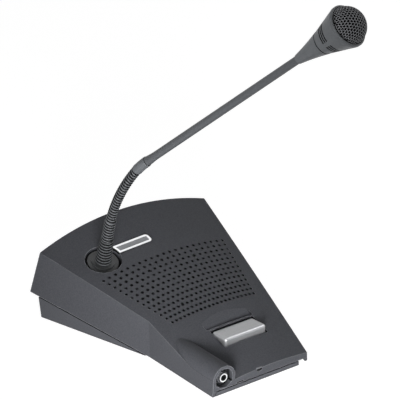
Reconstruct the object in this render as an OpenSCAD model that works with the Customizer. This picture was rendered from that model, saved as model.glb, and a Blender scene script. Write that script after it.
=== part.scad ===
// Paging call station: a wedge-shaped desk base with a grille, a talk key and a microphone on a gooseneck.
// X runs to the user's right, Y to the back, Z up. The origin is the centre of the pad it stands on.

/* [Base] */
// Depth from the front edge to the rear edge of the top
base_depth = 192; // [180:1:220]
// Width between the side walls at the rear edge, at desk level
rear_width = 169; // [150:1:190]
// Width between the tapering side walls at the front edge, at desk level
front_width = 71; // [60:1:90]
// Distance from the centre line to the straight left front wall, at desk level
facet_x = 55.5; // [50:0.5:62]
// Height of the top at the middle of the rear edge
rear_height = 66.5; // [60:0.5:75]
// Fall of the top towards the front, in degrees
top_slope = 16; // [14:0.5:17]
// Radius of the arch of the top from side to side
arch_radius = 312; // [250:1:500]
// Lean of the right wall and the straight left front wall, in degrees
side_draft = 3; // [0:0.5:5]
// Lean of the tapering left wall, in degrees
left_draft = 5; // [3:0.5:7]
// Distance that the left wall's foot stands further out than the right one's, at the rear
left_flare = 2; // [0:0.1:3]
// Distance in front of the middle where the left wall turns straight
bend_front = 18.4; // [15:0.2:22]
// Lean of the rear wall, in degrees
rear_draft = 13; // [5:0.5:16]
// Radius of the rear wall, seen from above
rear_radius = 450; // [350:5:700]
// Thickness of the cover's walls
wall = 2.4; // [2:0.1:3]
// Height of the cover's lower edge at the rear
skirt_rear = 21.5; // [16:0.5:24]
// Height of the cover's right wall above the desk at its front end
skirt_right = 2.4; // [1.5:0.1:4]
// Height of the groove between cover and tray at the front
groove_height = 4.6; // [4:0.1:6]
// Width of the groove between cover and tray
groove_gap = 0.8; // [0.4:0.1:1.2]

/* [Tray] */
// Thickness of the tray's floor
floor_thick = 2.5; // [2:0.1:3]
// Height of the tray's underside above the desk
ride_height = 1; // [0.6:0.1:1.4]
// Distance from the cover's right wall to the tray's right wall
tray_inset_right = 8; // [5:0.5:10]
// Distance from the cover's rear edge to the tray's rear wall
tray_inset_rear = 7; // [5:0.5:9]
// Forward lean of the tray's rear wall, in degrees
tray_lean = 13; // [5:0.5:15]
// Length of the anti-slip pad
pad_depth = 130; // [100:1:150]
// Width of the anti-slip pad at its rear
pad_rear = 84; // [60:1:90]
// Width of the anti-slip pad at its front
pad_front = 58; // [50:1:62]
// Depth of the pad's recess in the tray
pad_recess = 1; // [0.6:0.1:1.4]
// Thickness of the steel plate that steadies the base
ballast_thick = 4; // [2:0.5:5]

/* [Grille] */
// Rows of holes
hole_rows = 13; // [9:1:13]
// Holes in each row
hole_columns = 21; // [15:2:21]
// Diameter of a hole
hole_d = 2.1; // [1.5:0.1:2.6]
// Distance between rows, along the slope
row_pitch = 5.5; // [5:0.1:5.8]
// Distance between holes in the rear row
column_pitch = 5.8; // [5.2:0.1:6]
// Distance of the rear row from the middle of the base
rear_row_y = 38.6; // [34:0.2:40]
// Distance in front of the middle where the columns would meet
fan_y = 165; // [140:1:300]

/* [Loudspeaker] */
// Diameter of the loudspeaker's rim
speaker_d = 63; // [55:1:66]
// Height of the loudspeaker with its magnet
speaker_height = 21; // [17:0.5:23]
// Distance of the loudspeaker's centre behind the middle of the base
speaker_y = 7; // [5:0.5:10]

/* [Talk key] */
// Width of the key
key_width = 40; // [34:0.5:44]
// Depth of the key
key_depth = 18; // [15:0.5:20]
// Distance of the key's rear edge in front of the middle of the base
key_rear = 47.5; // [46:0.5:50]
// Depth of the key's rear edge below the top
key_sink = 1; // [0.5:0.1:1.5]
// Rise of the key's top towards its front edge
key_rise = 1.4; // [0.5:0.1:2]
// Radius of the key's front edge
key_round = 2.6; // [2:0.1:4]
// Radius of the key's front corners, seen from above
key_corner = 2.4; // [1.5:0.1:3]
// Gap round the key
key_gap = 0.5; // [0.4:0.05:0.8]
// Diameter of the key's hinge pin
pin_d = 2.4; // [2:0.1:3]
// Depth of the finger hollow at its front end
hollow_depth = 1.8; // [1:0.1:2]
// Length of the finger hollow along the slope
hollow_length = 13; // [10:0.5:14]
// Width of the finger hollow
hollow_width = 44; // [40:0.5:50]
// Width of the ridge between the finger hollow and the key
hollow_ridge = 1.3; // [1:0.1:2]

/* [Headset jack] */
// Height of the jack's axis above the desk
jack_z = 13.7; // [12.5:0.1:15]
// Bore of the jack
jack_bore = 3.5; // [2.5:0.1:3.5]
// Length of the jack's bore
jack_length = 15; // [13:0.5:17]
// Radius of the hood over the jack
hood_r = 10.2; // [9.6:0.1:11]
// Thickness of the hood
hood_wall = 2.4; // [1.8:0.1:2.6]
// Depth of the pocket under the hood
hood_pocket = 5; // [4:0.5:7]
// Depth of the jack's seat behind the front
jack_seat = 2.4; // [1.6:0.1:3]
// Diameter of the round boss that carries the jack
jack_boss_d = 9; // [8:0.1:10]

/* [Status bar] */
// Length of the bar's frame
bar_length = 34; // [30:0.5:38]
// Height of the bar's frame
bar_height = 8.6; // [7:0.1:10]
// Width of the frame round the window
bar_border = 1.9; // [1.4:0.1:2.2]
// Radius of the frame's right corners
bar_round = 2.8; // [2.4:0.1:3.4]
// Distance of the bar's centre to the left of the middle
bar_x = 16; // [14:0.5:17]
// Distance of the bar's centre behind the middle of the base
bar_y = 58.5; // [56:0.5:61]

/* [Gooseneck] */
// Distance of the neck to the left of the middle
neck_x = 45; // [42:0.5:48]
// Distance of the neck behind the middle of the base
neck_y = 56.3; // [54:0.1:58]
// Diameter of the round well in the top
well_d = 29; // [27:0.5:31]
// Depth of the well
well_depth = 6; // [5:0.1:7]
// Diameter of the flange in the well
flange_d = 24.6; // [23:0.1:25.5]
// Lean of the neck from the square of the top, in degrees
neck_lean = 5.6; // [0:0.1:8]
// Turn of the neck's bend towards the right, in degrees
neck_turn = 36.8; // [0:0.2:45]
// Length of the ribbed boot above the top
boot_length = 24; // [20:0.5:28]
// Diameter of the boot at its foot
boot_d = 13.4; // [12:0.1:15]
// Diameter of the boot at its top
boot_top_d = 10.4; // [9:0.1:12]
// Ribs on the boot
boot_ribs = 12; // [6:1:14]
// Outer diameter of the flexible neck
flex_d = 7.8; // [7:0.1:9]
// Bore of the flexible neck
flex_bore = 4; // [3:0.1:4.4]
// Outer diameter of the flexible neck's thicker foot
foot_d = 9.3; // [8.4:0.1:10]
// Length of the thicker foot
foot_length = 20; // [10:0.5:30]
// Length of the straight part above the boot
flex_straight = 12; // [8:0.5:16]
// Length of the flexible neck's bend
flex_bend = 64.6; // [45:0.2:80]
// Angle of the bend
flex_angle = 20.2; // [5:0.1:30]
// Ribs on the flexible neck
flex_ribs = 27; // [20:1:40]

/* [Stem and microphone] */
// Diameter of the bent collar
collar_d = 8.2; // [7.6:0.1:9]
// Length of the collar along its middle
collar_length = 19.4; // [14:0.2:24]
// Angle of the collar's bend
collar_angle = 13; // [1:0.5:20]
// Diameter of the stem
stem_d = 6.2; // [5.4:0.1:6.6]
// Diameter of the stem at its foot
stem_foot_d = 7.4; // [7:0.1:8]
// Length of the stem's tapering foot
stem_foot = 9; // [6:0.5:14]
// Length of the stem between collar and microphone
stem_length = 171; // [140:1:200]
// Length of the microphone's rear cone
cone_length = 26.6; // [24:0.2:34]
// Diameter of the microphone at its seam
seam_d = 18.6; // [17:0.1:20]
// Length of the slotted barrel
barrel_length = 23.6; // [22:0.2:32]
// Diameter of the microphone at its rim
rim_d = 32.4; // [30:0.1:34]
// Height of the perforated dome above the rim
dome_height = 13; // [9:0.1:14]
// Slot groups round the barrel
slot_groups = 4; // [3:1:6]
// Distance of the first slot from the seam
slot_start = 6.9; // [5:0.1:7.5]
// Width of a slot
slot_width = 1.2; // [0.8:0.1:1.3]
// Distance between slots
slot_pitch = 2.2; // [2:0.1:2.4]
// Rings of holes in the dome
dome_rings = 7; // [4:1:7]
// Diameter of a hole in the dome
dome_hole_d = 1.5; // [1:0.1:1.6]

/* [Hidden] */
$fn = 96;

// Clearances: of pieces that slide into each other, and of pieces that are pressed or screwed together
slip = 0.4;
seat = 0.05;
// Length that reaches past every cut
reach = 400;
eps = 0.02;

// Top surface
apex_z = rear_height - base_depth / 2 * tan(top_slope);
function arch_drop(x) = arch_radius - sqrt(arch_radius * arch_radius - x * x);
function top_z(x, y) = apex_z + y * tan(top_slope) - arch_drop(x) / cos(top_slope);
function along_slope(x, y) = (y - arch_drop(x) * sin(top_slope)) / cos(top_slope);

// Side walls
taper = atan((rear_width - front_width) / 2 / base_depth);
bend_y = -bend_front;
left_foot = rear_width / 2 + left_flare;
left_taper = atan((left_foot - facet_x) / (base_depth / 2 - bend_y));
function facet_at(z) = facet_x - z * tan(side_draft);
function right_at(y) = rear_width / 2 - (base_depth / 2 - y) * tan(taper);
hood_ledge = 0.15;
hood_x = facet_at(jack_z) - hood_r - hood_ledge;

// Slots in the front lip: a thin one and a square notch
lip_slot_x = 29.3;
lip_slot_w = 6.6;
lip_slot_h = 1;
lip_notch_x = 11.1;
lip_notch_w = 4.8;
lip_notch_h = 2;
lip_cut = 1.6;

// Tray and what stands on it
floor_top = ride_height + floor_thick;
tray_wall = 2;
tray_inset = wall + slip;
tray_rise = 3;
ballast_front = 30;
ballast_rear = 36;
ballast_side = 16;
board_thick = 1.6;
post_d = 5.4;
screw_d = 2.2;
head_d = 4.2;
head_h = 1.6;
post_inset = 4;
cover_screw_d = 2.5;
cover_screw_length = 9;
cover_head_d = 4.8;
cover_head_h = 1.2;
cover_screw_z = ride_height + cover_head_h;
boss_d = 8;
rear_boss_y = base_depth / 2 - 26;
rear_boss_x = right_at(rear_boss_y) - 16;

// Talk key
key_front = key_rear + key_depth;
key_top = top_z(0, -key_rear) - key_sink;
key_wall = 1.8;
function key_under(y) = key_top - key_wall + key_rise * (-key_rear - y) / key_depth;
key_skirt = top_z(0, -key_front) - wall - 2.2;
key_swing = 0.4;
front_boss_y = -key_front - boss_d / 2 - 6.5;
front_boss_x = right_at(front_boss_y) - (tray_inset_right + tray_wall) / cos(taper) - boss_d / 2 - 1;
key_board_w = key_width + 8;
key_board_rear = -key_rear + 3;
key_board_front = -key_front - 5;
lug_r = pin_d / 2 + 1.6;
lug_w = 4;
hinge_y = -key_rear + lug_r + 1.1;
hinge_z = key_skirt + lug_r - 1;
lug_x = key_width / 2 - 6;
ear_w = 3;
ear_x = lug_x + lug_w / 2 + slip + ear_w / 2;
pin_fit = 0.08;
key_board_z = floor_top + 3;
switch_y = -key_rear - key_depth * 0.58;
switch_size = 6;
switch_h = 3.6;
plunger_d = 3.2;
plunger_low = key_board_z + board_thick + 2.2;
plunger_top = key_board_z + board_thick + switch_h + 1.6;
push_gap = 0.3;
spring_x = key_width / 2 - 9;
spring_y = -key_rear - key_depth * 0.36;
spring_d = 4.6;
spring_wire = 0.6;
spring_turns = 8;
spring_bottom = key_board_z + board_thick;
spring_top = key_under(spring_y + spring_d / 2) - push_gap;
spring_sides = 6;
spring_rings = 8;
spring_steps = spring_rings * spring_turns;
spring_lift = spring_wire + 0.5;

// Headset jack
barrel_d = jack_bore + 1.5;
jack_width = 10;
jack_height = 9;
jack_ring_d = barrel_d + 2;
jack_ring_h = 1.4;
pocket_floor = jack_z - jack_boss_d / 2 - 0.1;

// Network socket
socket_x = 30;
socket_w = 16;
socket_h = 13.5;
socket_depth = 19;
socket_wall = 2.1;
socket_back = 3;
plug_h = 8;
latch_w = 6;
latch_h = 1.8;
socket_face = base_depth / 2 + 1;
main_board_z = floor_top + 2;
main_board_w = 100;
main_board_inset = 10;
main_board_d = 40;
main_board_rear = base_depth / 2 - main_board_inset;
main_board_front = main_board_rear - main_board_d;
socket_z = main_board_z + board_thick;

// Loudspeaker
seat_drop = wall + 2.6;
gauze_thick = 0.5;
ring_w = 4;
speaker_rim = 1.5;
basket_r = speaker_d / 2 - ring_w - 3;
basket_sheet = 1.2;
magnet_r = 14;
magnet_h = 8;
pole_r = 7.4;
basket_h = speaker_height - magnet_h;
cone_sheet = 0.6;
cap_r = 8;
cap_rise = 2.2;
cap_z = -5.6;
cone_z = -7;
surround_r = 3;
surround_h = 0.9;
rim_paper = 2.4;
basket_hole_w = 8;
basket_web = 3;

// Status bar
frame_rise = 0.6;
window_rise = 0.2;
light_d = 2.6;
light_pitch = 7;

// Gooseneck and stem
shank_d = 11;
shank_length = 13;
nut_h = 4;
ring_d = 18;
flange_top = 2.6;
ring_top = 1.4;
rib_depth = 0.65;
flex_sides = 12;
boot_height = boot_length + ring_top;
boot_pitch = boot_height / boot_ribs;
collar_pin = 6;
head_start = stem_length;
stem_bore = 3.4;
pin_bore = 1.4;
stem_gap = 0.3;
stem_depth = 6;

// Microphone
mic_wall = 1.6;
seam_gap = 0.6;
barrel_start = head_start + cone_length + seam_gap;
barrel_end = barrel_start + barrel_length;
rim_h = 2.4;
rim_wall = 1.4;
dome_r = rim_d / 2 - rim_wall - 0.1;
dome_wall = 0.8;
dome_ball = (dome_r * dome_r + dome_height * dome_height) / (2 * dome_height);
slots = 3;
slot_share = 0.82;
cone_lip = 0.6;
spigot = 4;
foam_thick = 1.7;
capsule_d = 13;
capsule_h = 9;
carrier_h = 5;
carrier_z = barrel_length - 2 * carrier_h;

charcoal = [0.29, 0.29, 0.31];
dark_grey = [0.2, 0.2, 0.21];
black = [0.08, 0.08, 0.09];
silver = [0.78, 0.78, 0.8];
steel = [0.62, 0.63, 0.65];

// Half of space inside a wall that passes through a floor point, turned in plan and leaning inwards
module inside_wall(at, turn, lean, inset)
    translate(at)
        rotate([0, 0, turn])
            rotate([0, -lean, 0])
                translate([-reach - inset, -reach, -reach])
                    cube([reach, 2 * reach, 2 * reach]);

module right_wall(inset)
    inside_wall([rear_width / 2, base_depth / 2, 0], -taper, side_draft, inset);

module left_wall(inset)
    inside_wall([-left_foot, base_depth / 2, 0], 180 + left_taper, left_draft, inset);

module facet_wall(inset)
    intersection() {
        inside_wall([-facet_x, 0, 0], 180, side_draft, inset);
        translate([-reach, -reach, -reach])
            cube([2 * reach, reach, 2 * reach]);
    }

module front_wall(inset)
    inside_wall([0, -base_depth / 2, 0], -90, 0, inset);

module rear_wall(inset)
    translate([0, base_depth / 2 - rear_radius, 0])
        cylinder(h = reach, r1 = rear_radius + rear_height * tan(rear_draft) - inset / cos(rear_draft),
            r2 = rear_radius + (rear_height - reach) * tan(rear_draft) - inset / cos(rear_draft), $fn = 180);

// Frame whose floor is the slope along the middle of the top
module slope_frame()
    translate([0, 0, apex_z])
        rotate([top_slope, 0, 0])
            children();

// Frame square to the arched top above a point of the desk
module on_top(x, y)
    slope_frame()
        translate([0, along_slope(x, y), -arch_radius])
            rotate([0, asin(x / arch_radius), 0])
                translate([0, 0, arch_radius])
                    children();

module crown(inset)
    slope_frame()
        translate([0, 0, -arch_radius])
            rotate([90, 0, 0])
                cylinder(r = arch_radius - inset, h = 2 * reach, center = true, $fn = 180);

module plan(inset, front_inset)
    intersection() {
        rear_wall(inset);
        right_wall(inset);
        front_wall(front_inset);
        union() {
            left_wall(inset);
            facet_wall(inset);
        }
    }

// Hood over the headset jack: an arch on straight legs that stands out of the top
module hood(inset) {
    r = hood_r - inset * hood_wall / wall;
    front = base_depth / 2 - inset;
    length = front + bend_y - hood_r;
    translate([-hood_x, -front, jack_z])
        rotate([-90, 0, 0])
            cylinder(r = r, h = length);
    intersection() {
        facet_wall(inset);
        translate([-facet_x, -front, 0])
            cube([facet_x - hood_x + r - hood_ledge, length, jack_z]);
    }
}

// Solid form of the whole base, drawn in by an inset
module form(inset)
    union() {
        intersection() {
            plan(inset, inset);
            crown(inset);
        }
        hood(inset);
    }

// Space below the cover's lower edge, which rises to the rear
module below_skirt() {
    edge_rear = base_depth / 2 + 20;
    for (side = [[-reach, ride_height, bend_y], [0, skirt_right, -base_depth / 2]])
        translate([side[0], 0, 0])
            rotate([90, 0, 90])
                linear_extrude(reach)
                    polygon([[-reach, -reach], [-reach, side[1]], [side[2], side[1]],
                        [edge_rear, skirt_rear], [edge_rear, -reach]]);
    intersection() {
        right_wall(wall);
        translate([-facet_at(0) + wall, -base_depth / 2 - 1, -reach])
            cube([reach, 1 + wall + 2 * slip, reach + groove_height + groove_gap / 2]);
    }
}

module grille_holes()
    slope_frame()
        for (row = [0 : hole_rows - 1])
            for (column = [-(hole_columns - 1) / 2 : (hole_columns - 1) / 2]) {
                v = along_slope(0, rear_row_y) - row * row_pitch;
                x = column * column_pitch * (v + fan_y) / (along_slope(0, rear_row_y) + fan_y);
                translate([x, v - x * x / (6 * arch_radius), -2 * wall - arch_drop(x)])
                    cylinder(d = hole_d, h = 4 * wall, $fn = 24);
            }

module neck_frame()
    on_top(-neck_x, neck_y)
        rotate([0, 0, neck_turn])
            rotate([neck_lean, 0, 0])
                children();

// Frame of the loudspeaker's seat, below the top
module speaker_seat()
    slope_frame()
        translate([0, along_slope(0, speaker_y), -seat_drop])
            children();

module at_speaker_screws()
    for (k = [0 : 3])
        rotate([0, 0, 45 + 90 * k])
            translate([speaker_d / 2 - ring_w / 2, 0, 0])
                children();

module at_cover_screws(z)
    for (side = [-1, 1]) {
        translate([side * rear_boss_x, rear_boss_y, z])
            children();
        translate([side * front_boss_x, front_boss_y, z])
            children();
    }

module screw_bosses()
    at_cover_screws(floor_top + slip)
        cylinder(d = boss_d, h = reach);

module screw_holes()
    at_cover_screws(0)
        cylinder(d = cover_screw_d + 2 * seat, h = cover_screw_z + cover_screw_length + 1);

module key_ears()
    for (side = [-1, 1])
        translate([side * ear_x - ear_w / 2, hinge_y - lug_r, hinge_z - lug_r])
            cube([ear_w, 2 * lug_r, reach]);

module hinge_rod(d, length)
    translate([-length / 2, hinge_y, hinge_z])
        rotate([0, 90, 0])
            cylinder(d = d, h = length);

module key_opening()
    translate([-key_width / 2 - key_gap, -key_front - key_gap - key_swing, key_skirt - 5])
        cube([key_width + 2 * key_gap, key_depth + 2 * key_gap + key_swing, reach]);

// Ramp of the finger hollow, deepest at the ridge behind the key, set lower by a distance
module finger_hollow(lower)
    slope_frame()
        translate([0, along_slope(0, -key_rear + key_gap) + hollow_ridge, -lower])
            across(hollow_width)
                polygon([[0, -hollow_depth], [hollow_length, 0], [hollow_length, reach], [0, reach]]);

// Bar with its right corners rounded; a shorter one is rounded less
module bar_block(length, height, low, high) {
    r = bar_round + (length - bar_length) / 2;
    on_top(-bar_x, bar_y)
        translate([-length / 2, -height / 2, low])
            linear_extrude(high - low) {
                square([length - r, height]);
                translate([0, r])
                    square([length, height - 2 * r]);
                for (y = [r, height - r])
                    translate([length - r, y])
                        circle(r);
            }
}

module well_cut(extra, depth)
    neck_frame()
        translate([0, 0, -depth])
            cylinder(d = well_d + 2 * extra, h = reach);

// Frame on the jack's axis, looking into the base, at a depth behind the front
module along_jack(depth)
    translate([-hood_x, -base_depth / 2 + depth, jack_z])
        rotate([-90, 0, 0])
            children();

// Arch over the jack that goes straight down to a height
module jack_block(r, depth, ahead, low) {
    along_jack(-ahead)
        cylinder(r = r, h = depth + ahead);
    translate([-hood_x - r, -base_depth / 2 - ahead, low])
        cube([2 * r, depth + ahead, jack_z - low]);
}

module lip_cuts() {
    translate([-lip_slot_x - lip_slot_w / 2, -base_depth / 2 - 1, groove_height + groove_gap])
        cube([lip_slot_w, 1 + lip_cut, lip_slot_h]);
    translate([-lip_notch_x - lip_notch_w / 2, -base_depth / 2 - 1, top_z(0, -base_depth / 2) - slip - lip_notch_h])
        cube([lip_notch_w, 1 + lip_cut, lip_notch_h]);
}

module top_cover()
    color(charcoal)
        difference() {
            union() {
                difference() {
                    form(0);
                    form(wall);
                }
                intersection() {
                    form(0);
                    union() {
                        neck_frame()
                            translate([0, 0, -well_depth - wall])
                                cylinder(d = well_d + 2 * wall, h = reach);
                        speaker_seat()
                            difference() {
                                cylinder(d = speaker_d, h = reach);
                                translate([0, 0, -1])
                                    cylinder(d = speaker_d - 2 * ring_w, h = reach);
                            }
                        screw_bosses();
                        key_ears();
                        finger_hollow(wall);
                        bar_block(bar_length + 3, bar_height + 3, -2 * wall, wall);
                        jack_block(hood_r, hood_pocket + wall, 0, groove_height + groove_gap / 2);
                    }
                }
            }
            below_skirt();
            grille_holes();
            well_cut(0, well_depth);
            neck_frame()
                translate([0, 0, -reach / 2])
                    cylinder(d = shank_d + slip, h = reach);
            key_opening();
            finger_hollow(0);
            hinge_rod(pin_d + 2 * seat, 2 * ear_x + 2 * ear_w);
            bar_block(bar_length + 2 * seat, bar_height + 2 * seat, -wall, reach);
            screw_holes();
            speaker_seat()
                at_speaker_screws()
                    translate([0, 0, -1])
                        cylinder(d = screw_d - 0.4, h = 5);
            socket_block(2, -1, socket_z + socket_h + 2, 2 * socket_depth);
            lip_cuts();
            difference() {
                jack_block(hood_r - hood_wall, hood_pocket, 1, pocket_floor);
                along_jack(jack_seat)
                    cylinder(d = jack_boss_d, h = hood_pocket);
            }
            along_jack(0)
                cylinder(d = barrel_d + 2 * seat, h = hood_pocket + wall + 1);
        }

// Outline of the tray, drawn in by an inset
module tray_plan(inset)
    intersection() {
        right_wall(tray_inset_right + inset);
        front_wall(inset);
        tray_rear_wall(inset);
        union() {
            left_wall(tray_inset + inset);
            facet_wall(tray_inset + inset);
        }
    }

// Wall of the tray that stands below the cover's left edge, level with the cover's left wall
module tray_flank()
    intersection() {
        difference() {
            left_wall(0);
            left_wall(tray_inset + tray_wall);
        }
        tray_rear_wall(0);
        translate([0, 0, -groove_gap])
            below_skirt();
        translate([-reach, bend_y, ride_height])
            cube(reach);
    }

module tray_rear_wall(inset) {
    top_r = rear_radius + (rear_height - skirt_rear) * tan(rear_draft) - tray_inset_rear;
    foot_r = top_r - skirt_rear * tan(tray_lean) - inset / cos(tray_lean);
    translate([0, base_depth / 2 - rear_radius, 0])
        cylinder(h = 2 * skirt_rear, r1 = foot_r, r2 = foot_r + 2 * skirt_rear * tan(tray_lean), $fn = 180);
}

// Space between the tray's underside and its upper edge, which rises into the cover
module tray_height(low) {
    edge_rear = base_depth / 2 + 20;
    front_edge = groove_height - groove_gap / 2;
    translate([-reach / 2, 0, 0])
        rotate([90, 0, 90])
            linear_extrude(reach)
                polygon([[-reach, low], [-reach, front_edge], [bend_y, front_edge],
                    [edge_rear, skirt_rear + tray_rise], [edge_rear, low]]);
}

module pad_shape(extra)
    polygon([[-pad_front / 2 - extra, -pad_depth / 2 - extra], [pad_front / 2 + extra, -pad_depth / 2 - extra],
        [pad_rear / 2 + extra, pad_depth / 2 + extra], [-pad_rear / 2 - extra, pad_depth / 2 + extra]]);

module at_key_posts()
    for (x = [-1, 1])
        for (y = [key_board_front + post_inset, key_board_rear - post_inset])
            translate([x * (key_board_w / 2 - post_inset), y, 0])
                children();

module at_main_posts()
    for (x = [-1, 1])
        for (y = [main_board_front + post_inset, main_board_rear - post_inset])
            translate([x * (main_board_w / 2 - post_inset), y, 0])
                children();

module post(height)
    translate([0, 0, floor_top - eps])
        cylinder(d = post_d, h = height + eps);

module post_hole(top)
    translate([0, 0, floor_top])
        cylinder(d = screw_d, h = top - floor_top + 1);

// Block with the socket's width and a margin, from the socket's back to a distance behind its face
module socket_block(margin, z, height, behind)
    translate([socket_x - socket_w / 2 - margin, socket_face - socket_depth, z])
        cube([socket_w + 2 * margin, socket_depth + behind, height]);

module bottom_tray()
    color(dark_grey)
        difference() {
            union() {
                difference() {
                    intersection() {
                        tray_plan(0);
                        tray_height(ride_height);
                    }
                    intersection() {
                        tray_plan(tray_wall);
                        translate([-reach / 2, -reach / 2, floor_top])
                            cube(reach);
                    }
                }
                tray_flank();
                at_key_posts()
                    post(key_board_z - floor_top);
                at_main_posts()
                    post(main_board_z - floor_top);
            }
            at_key_posts()
                post_hole(key_board_z);
            at_main_posts()
                post_hole(main_board_z);
            at_cover_screws(0) {
                cylinder(d = cover_screw_d + slip, h = floor_top + 1);
                cylinder(d = cover_head_d + slip, h = cover_screw_z);
            }
            translate([0, 0, ride_height - 1])
                linear_extrude(pad_recess + 1)
                    pad_shape(slip / 2);
            socket_block(slip, socket_z - slip, reach, socket_depth);
        }

module ballast_plate()
    color(steel)
        translate([0, 0, floor_top])
            linear_extrude(ballast_thick)
                polygon([for (p = [[-1, -ballast_front], [1, -ballast_front], [1, ballast_rear], [-1, ballast_rear]])
                    [p[0] * (right_at(p[1]) - ballast_side), p[1]]]);

module base_pad()
    color(black)
        linear_extrude(ride_height + pad_recess)
            pad_shape(0);

// Round-headed screw that points up, its head's underside at z = 0
module screw(shank, length, head, height) {
    translate([0, 0, -height])
        cylinder(d = head, h = height);
    cylinder(d = shank, h = length);
}

module cover_screws()
    color(steel)
        at_cover_screws(cover_screw_z)
            screw(cover_screw_d, cover_screw_length, cover_head_d, cover_head_h);

module board_screws()
    color(steel) {
        at_key_posts()
            translate([0, 0, key_board_z + board_thick])
                mirror([0, 0, 1])
                    screw(screw_d - 2 * seat, board_thick + 2.4, head_d, head_h);
        at_main_posts()
            translate([0, 0, main_board_z + board_thick])
                mirror([0, 0, 1])
                    screw(screw_d - 2 * seat, board_thick + 1.6, head_d, head_h);
    }

module board(width, front, rear, z)
    translate([-width / 2, front, z])
        cube([width, rear - front, board_thick]);

module key_board()
    color([0.1, 0.35, 0.2])
        difference() {
            board(key_board_w, key_board_front, key_board_rear, key_board_z);
            at_key_posts()
                post_hole(key_board_z + board_thick);
        }

module main_board()
    color([0.1, 0.35, 0.2])
        difference() {
            board(main_board_w, main_board_front, main_board_rear, main_board_z);
            at_main_posts()
                post_hole(main_board_z + board_thick);
        }

module network_socket()
    color(black)
        difference() {
            socket_block(0, socket_z, socket_h, 0);
            translate([0, socket_back, 0]) {
                socket_block(-socket_wall, socket_z + socket_wall, plug_h, 0);
                socket_block((latch_w - socket_w) / 2, socket_z + socket_wall, plug_h + latch_h, 0);
            }
        }

module headset_jack()
    color(black)
        along_jack(jack_seat) {
            shoulder = hood_pocket - jack_seat + wall;
            difference() {
                union() {
                    translate([0, 0, -jack_ring_h])
                        cylinder(d = barrel_d, h = jack_ring_h + shoulder + eps);
                    translate([-jack_width / 2, -jack_height / 2, shoulder])
                        cube([jack_width, jack_height, jack_length]);
                }
                translate([0, 0, -jack_ring_h - 1])
                    cylinder(d = jack_bore, h = jack_length + 1);
            }
        }

module jack_ring()
    color(silver)
        along_jack(jack_seat - jack_ring_h)
            difference() {
                cylinder(d = jack_ring_d, h = jack_ring_h);
                translate([0, 0, -1])
                    cylinder(d = barrel_d + 2 * seat, h = jack_ring_h + 2);
            }

// Cloth behind the holes, cut out round the loudspeaker's seat
module speaker_gauze() {
    rear_v = along_slope(0, rear_row_y) + 4;
    front_v = along_slope(0, rear_row_y) - (hole_rows - 1) * row_pitch - 5;
    half = column_pitch * (hole_columns - 1) / 2 + 3;
    front_half = half * (front_v + fan_y) / (rear_v + fan_y);
    color(black)
        difference() {
            intersection() {
                crown(wall + seat);
                slope_frame()
                    translate([0, 0, -reach / 2])
                        linear_extrude(reach)
                            polygon([[-front_half, front_v], [front_half, front_v], [half, rear_v], [-half, rear_v]]);
            }
            crown(wall + seat + gauze_thick);
            speaker_seat()
                difference() {
                    cylinder(d = speaker_d + slip, h = reach, center = true);
                    cylinder(d = speaker_d - 2 * ring_w - slip, h = 2 * reach, center = true);
                }
            neck_frame()
                translate([0, 0, -reach / 2])
                    cylinder(d = well_d + 2 * wall + slip, h = reach);
        }
}

// Profile of a thin skin that hangs below a path
function skin(path, thick) = concat(path, [for (k = [len(path) - 1 : -1 : 0]) path[k] - [0, thick]]);

module speaker_frame()
    color(steel)
        speaker_seat()
            difference() {
                rotate_extrude()
                    polygon([[basket_r, 0], [speaker_d / 2, 0], [speaker_d / 2, -speaker_rim],
                        [basket_r + basket_sheet, -speaker_rim], [magnet_r + basket_sheet, -basket_h],
                        [pole_r + slip, -basket_h], [pole_r + slip, -basket_h + basket_sheet],
                        [magnet_r, -basket_h + basket_sheet], [basket_r, -speaker_rim]]);
                for (k = [0 : 3])
                    rotate([0, 0, 90 * k])
                        translate([magnet_r + basket_web, -basket_hole_w / 2, -basket_h + basket_web])
                            cube([basket_r, basket_hole_w, basket_h - speaker_rim - 1.5 * basket_web]);
                at_speaker_screws()
                    cylinder(d = screw_d, h = 4 * speaker_rim, center = true);
            }

module speaker_cone()
    color(dark_grey)
        speaker_seat()
            rotate_extrude()
                polygon(skin([[0, cap_z + cap_rise], [cap_r / 2, cap_z + 0.77 * cap_rise], [cap_r, cap_z],
                    [cap_r + cone_sheet, cone_z], [basket_r - surround_r - cone_sheet, 0],
                    [basket_r - surround_r, surround_h], [basket_r - surround_r / 3, surround_h],
                    [basket_r, cone_sheet], [basket_r + rim_paper, cone_sheet]], cone_sheet));

module speaker_magnet()
    color(steel)
        speaker_seat()
            translate([0, 0, -speaker_height])
                union() {
                    cylinder(r = magnet_r, h = magnet_h);
                    cylinder(r = pole_r, h = magnet_h + 3);
                }

module speaker_screws()
    color(steel)
        speaker_seat()
            at_speaker_screws()
                translate([0, 0, -speaker_rim])
                    screw(screw_d - 0.5, speaker_rim + 3, ring_w - 0.4, 1.2);

// Side of the talk key: a top that rises to a round front edge, drawn in by an inset
module key_profile(inset) {
    r = key_round - inset;
    front = -key_front + inset;
    top = key_top - inset;
    polygon(concat([[-key_rear - inset, key_skirt], [-key_rear - inset, top]],
        [for (a = [90 : 10 : 180]) [front + r + r * cos(a), top + key_rise - r + r * sin(a)]],
        [[front, key_skirt]]));
}

// Outline of the key from above, with round front corners
module key_plan()
    translate([-key_width / 2, -key_front]) {
        translate([0, key_corner])
            square([key_width, key_depth - key_corner]);
        translate([key_corner, 0])
            square([key_width - 2 * key_corner, key_corner]);
        for (x = [key_corner, key_width - key_corner])
            translate([x, key_corner])
                circle(key_corner);
    }

// Extrudes a side view, drawn in Y and Z, across the middle
module across(width)
    translate([-width / 2, 0, 0])
        rotate([90, 0, 90])
            linear_extrude(width)
                children();

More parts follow.
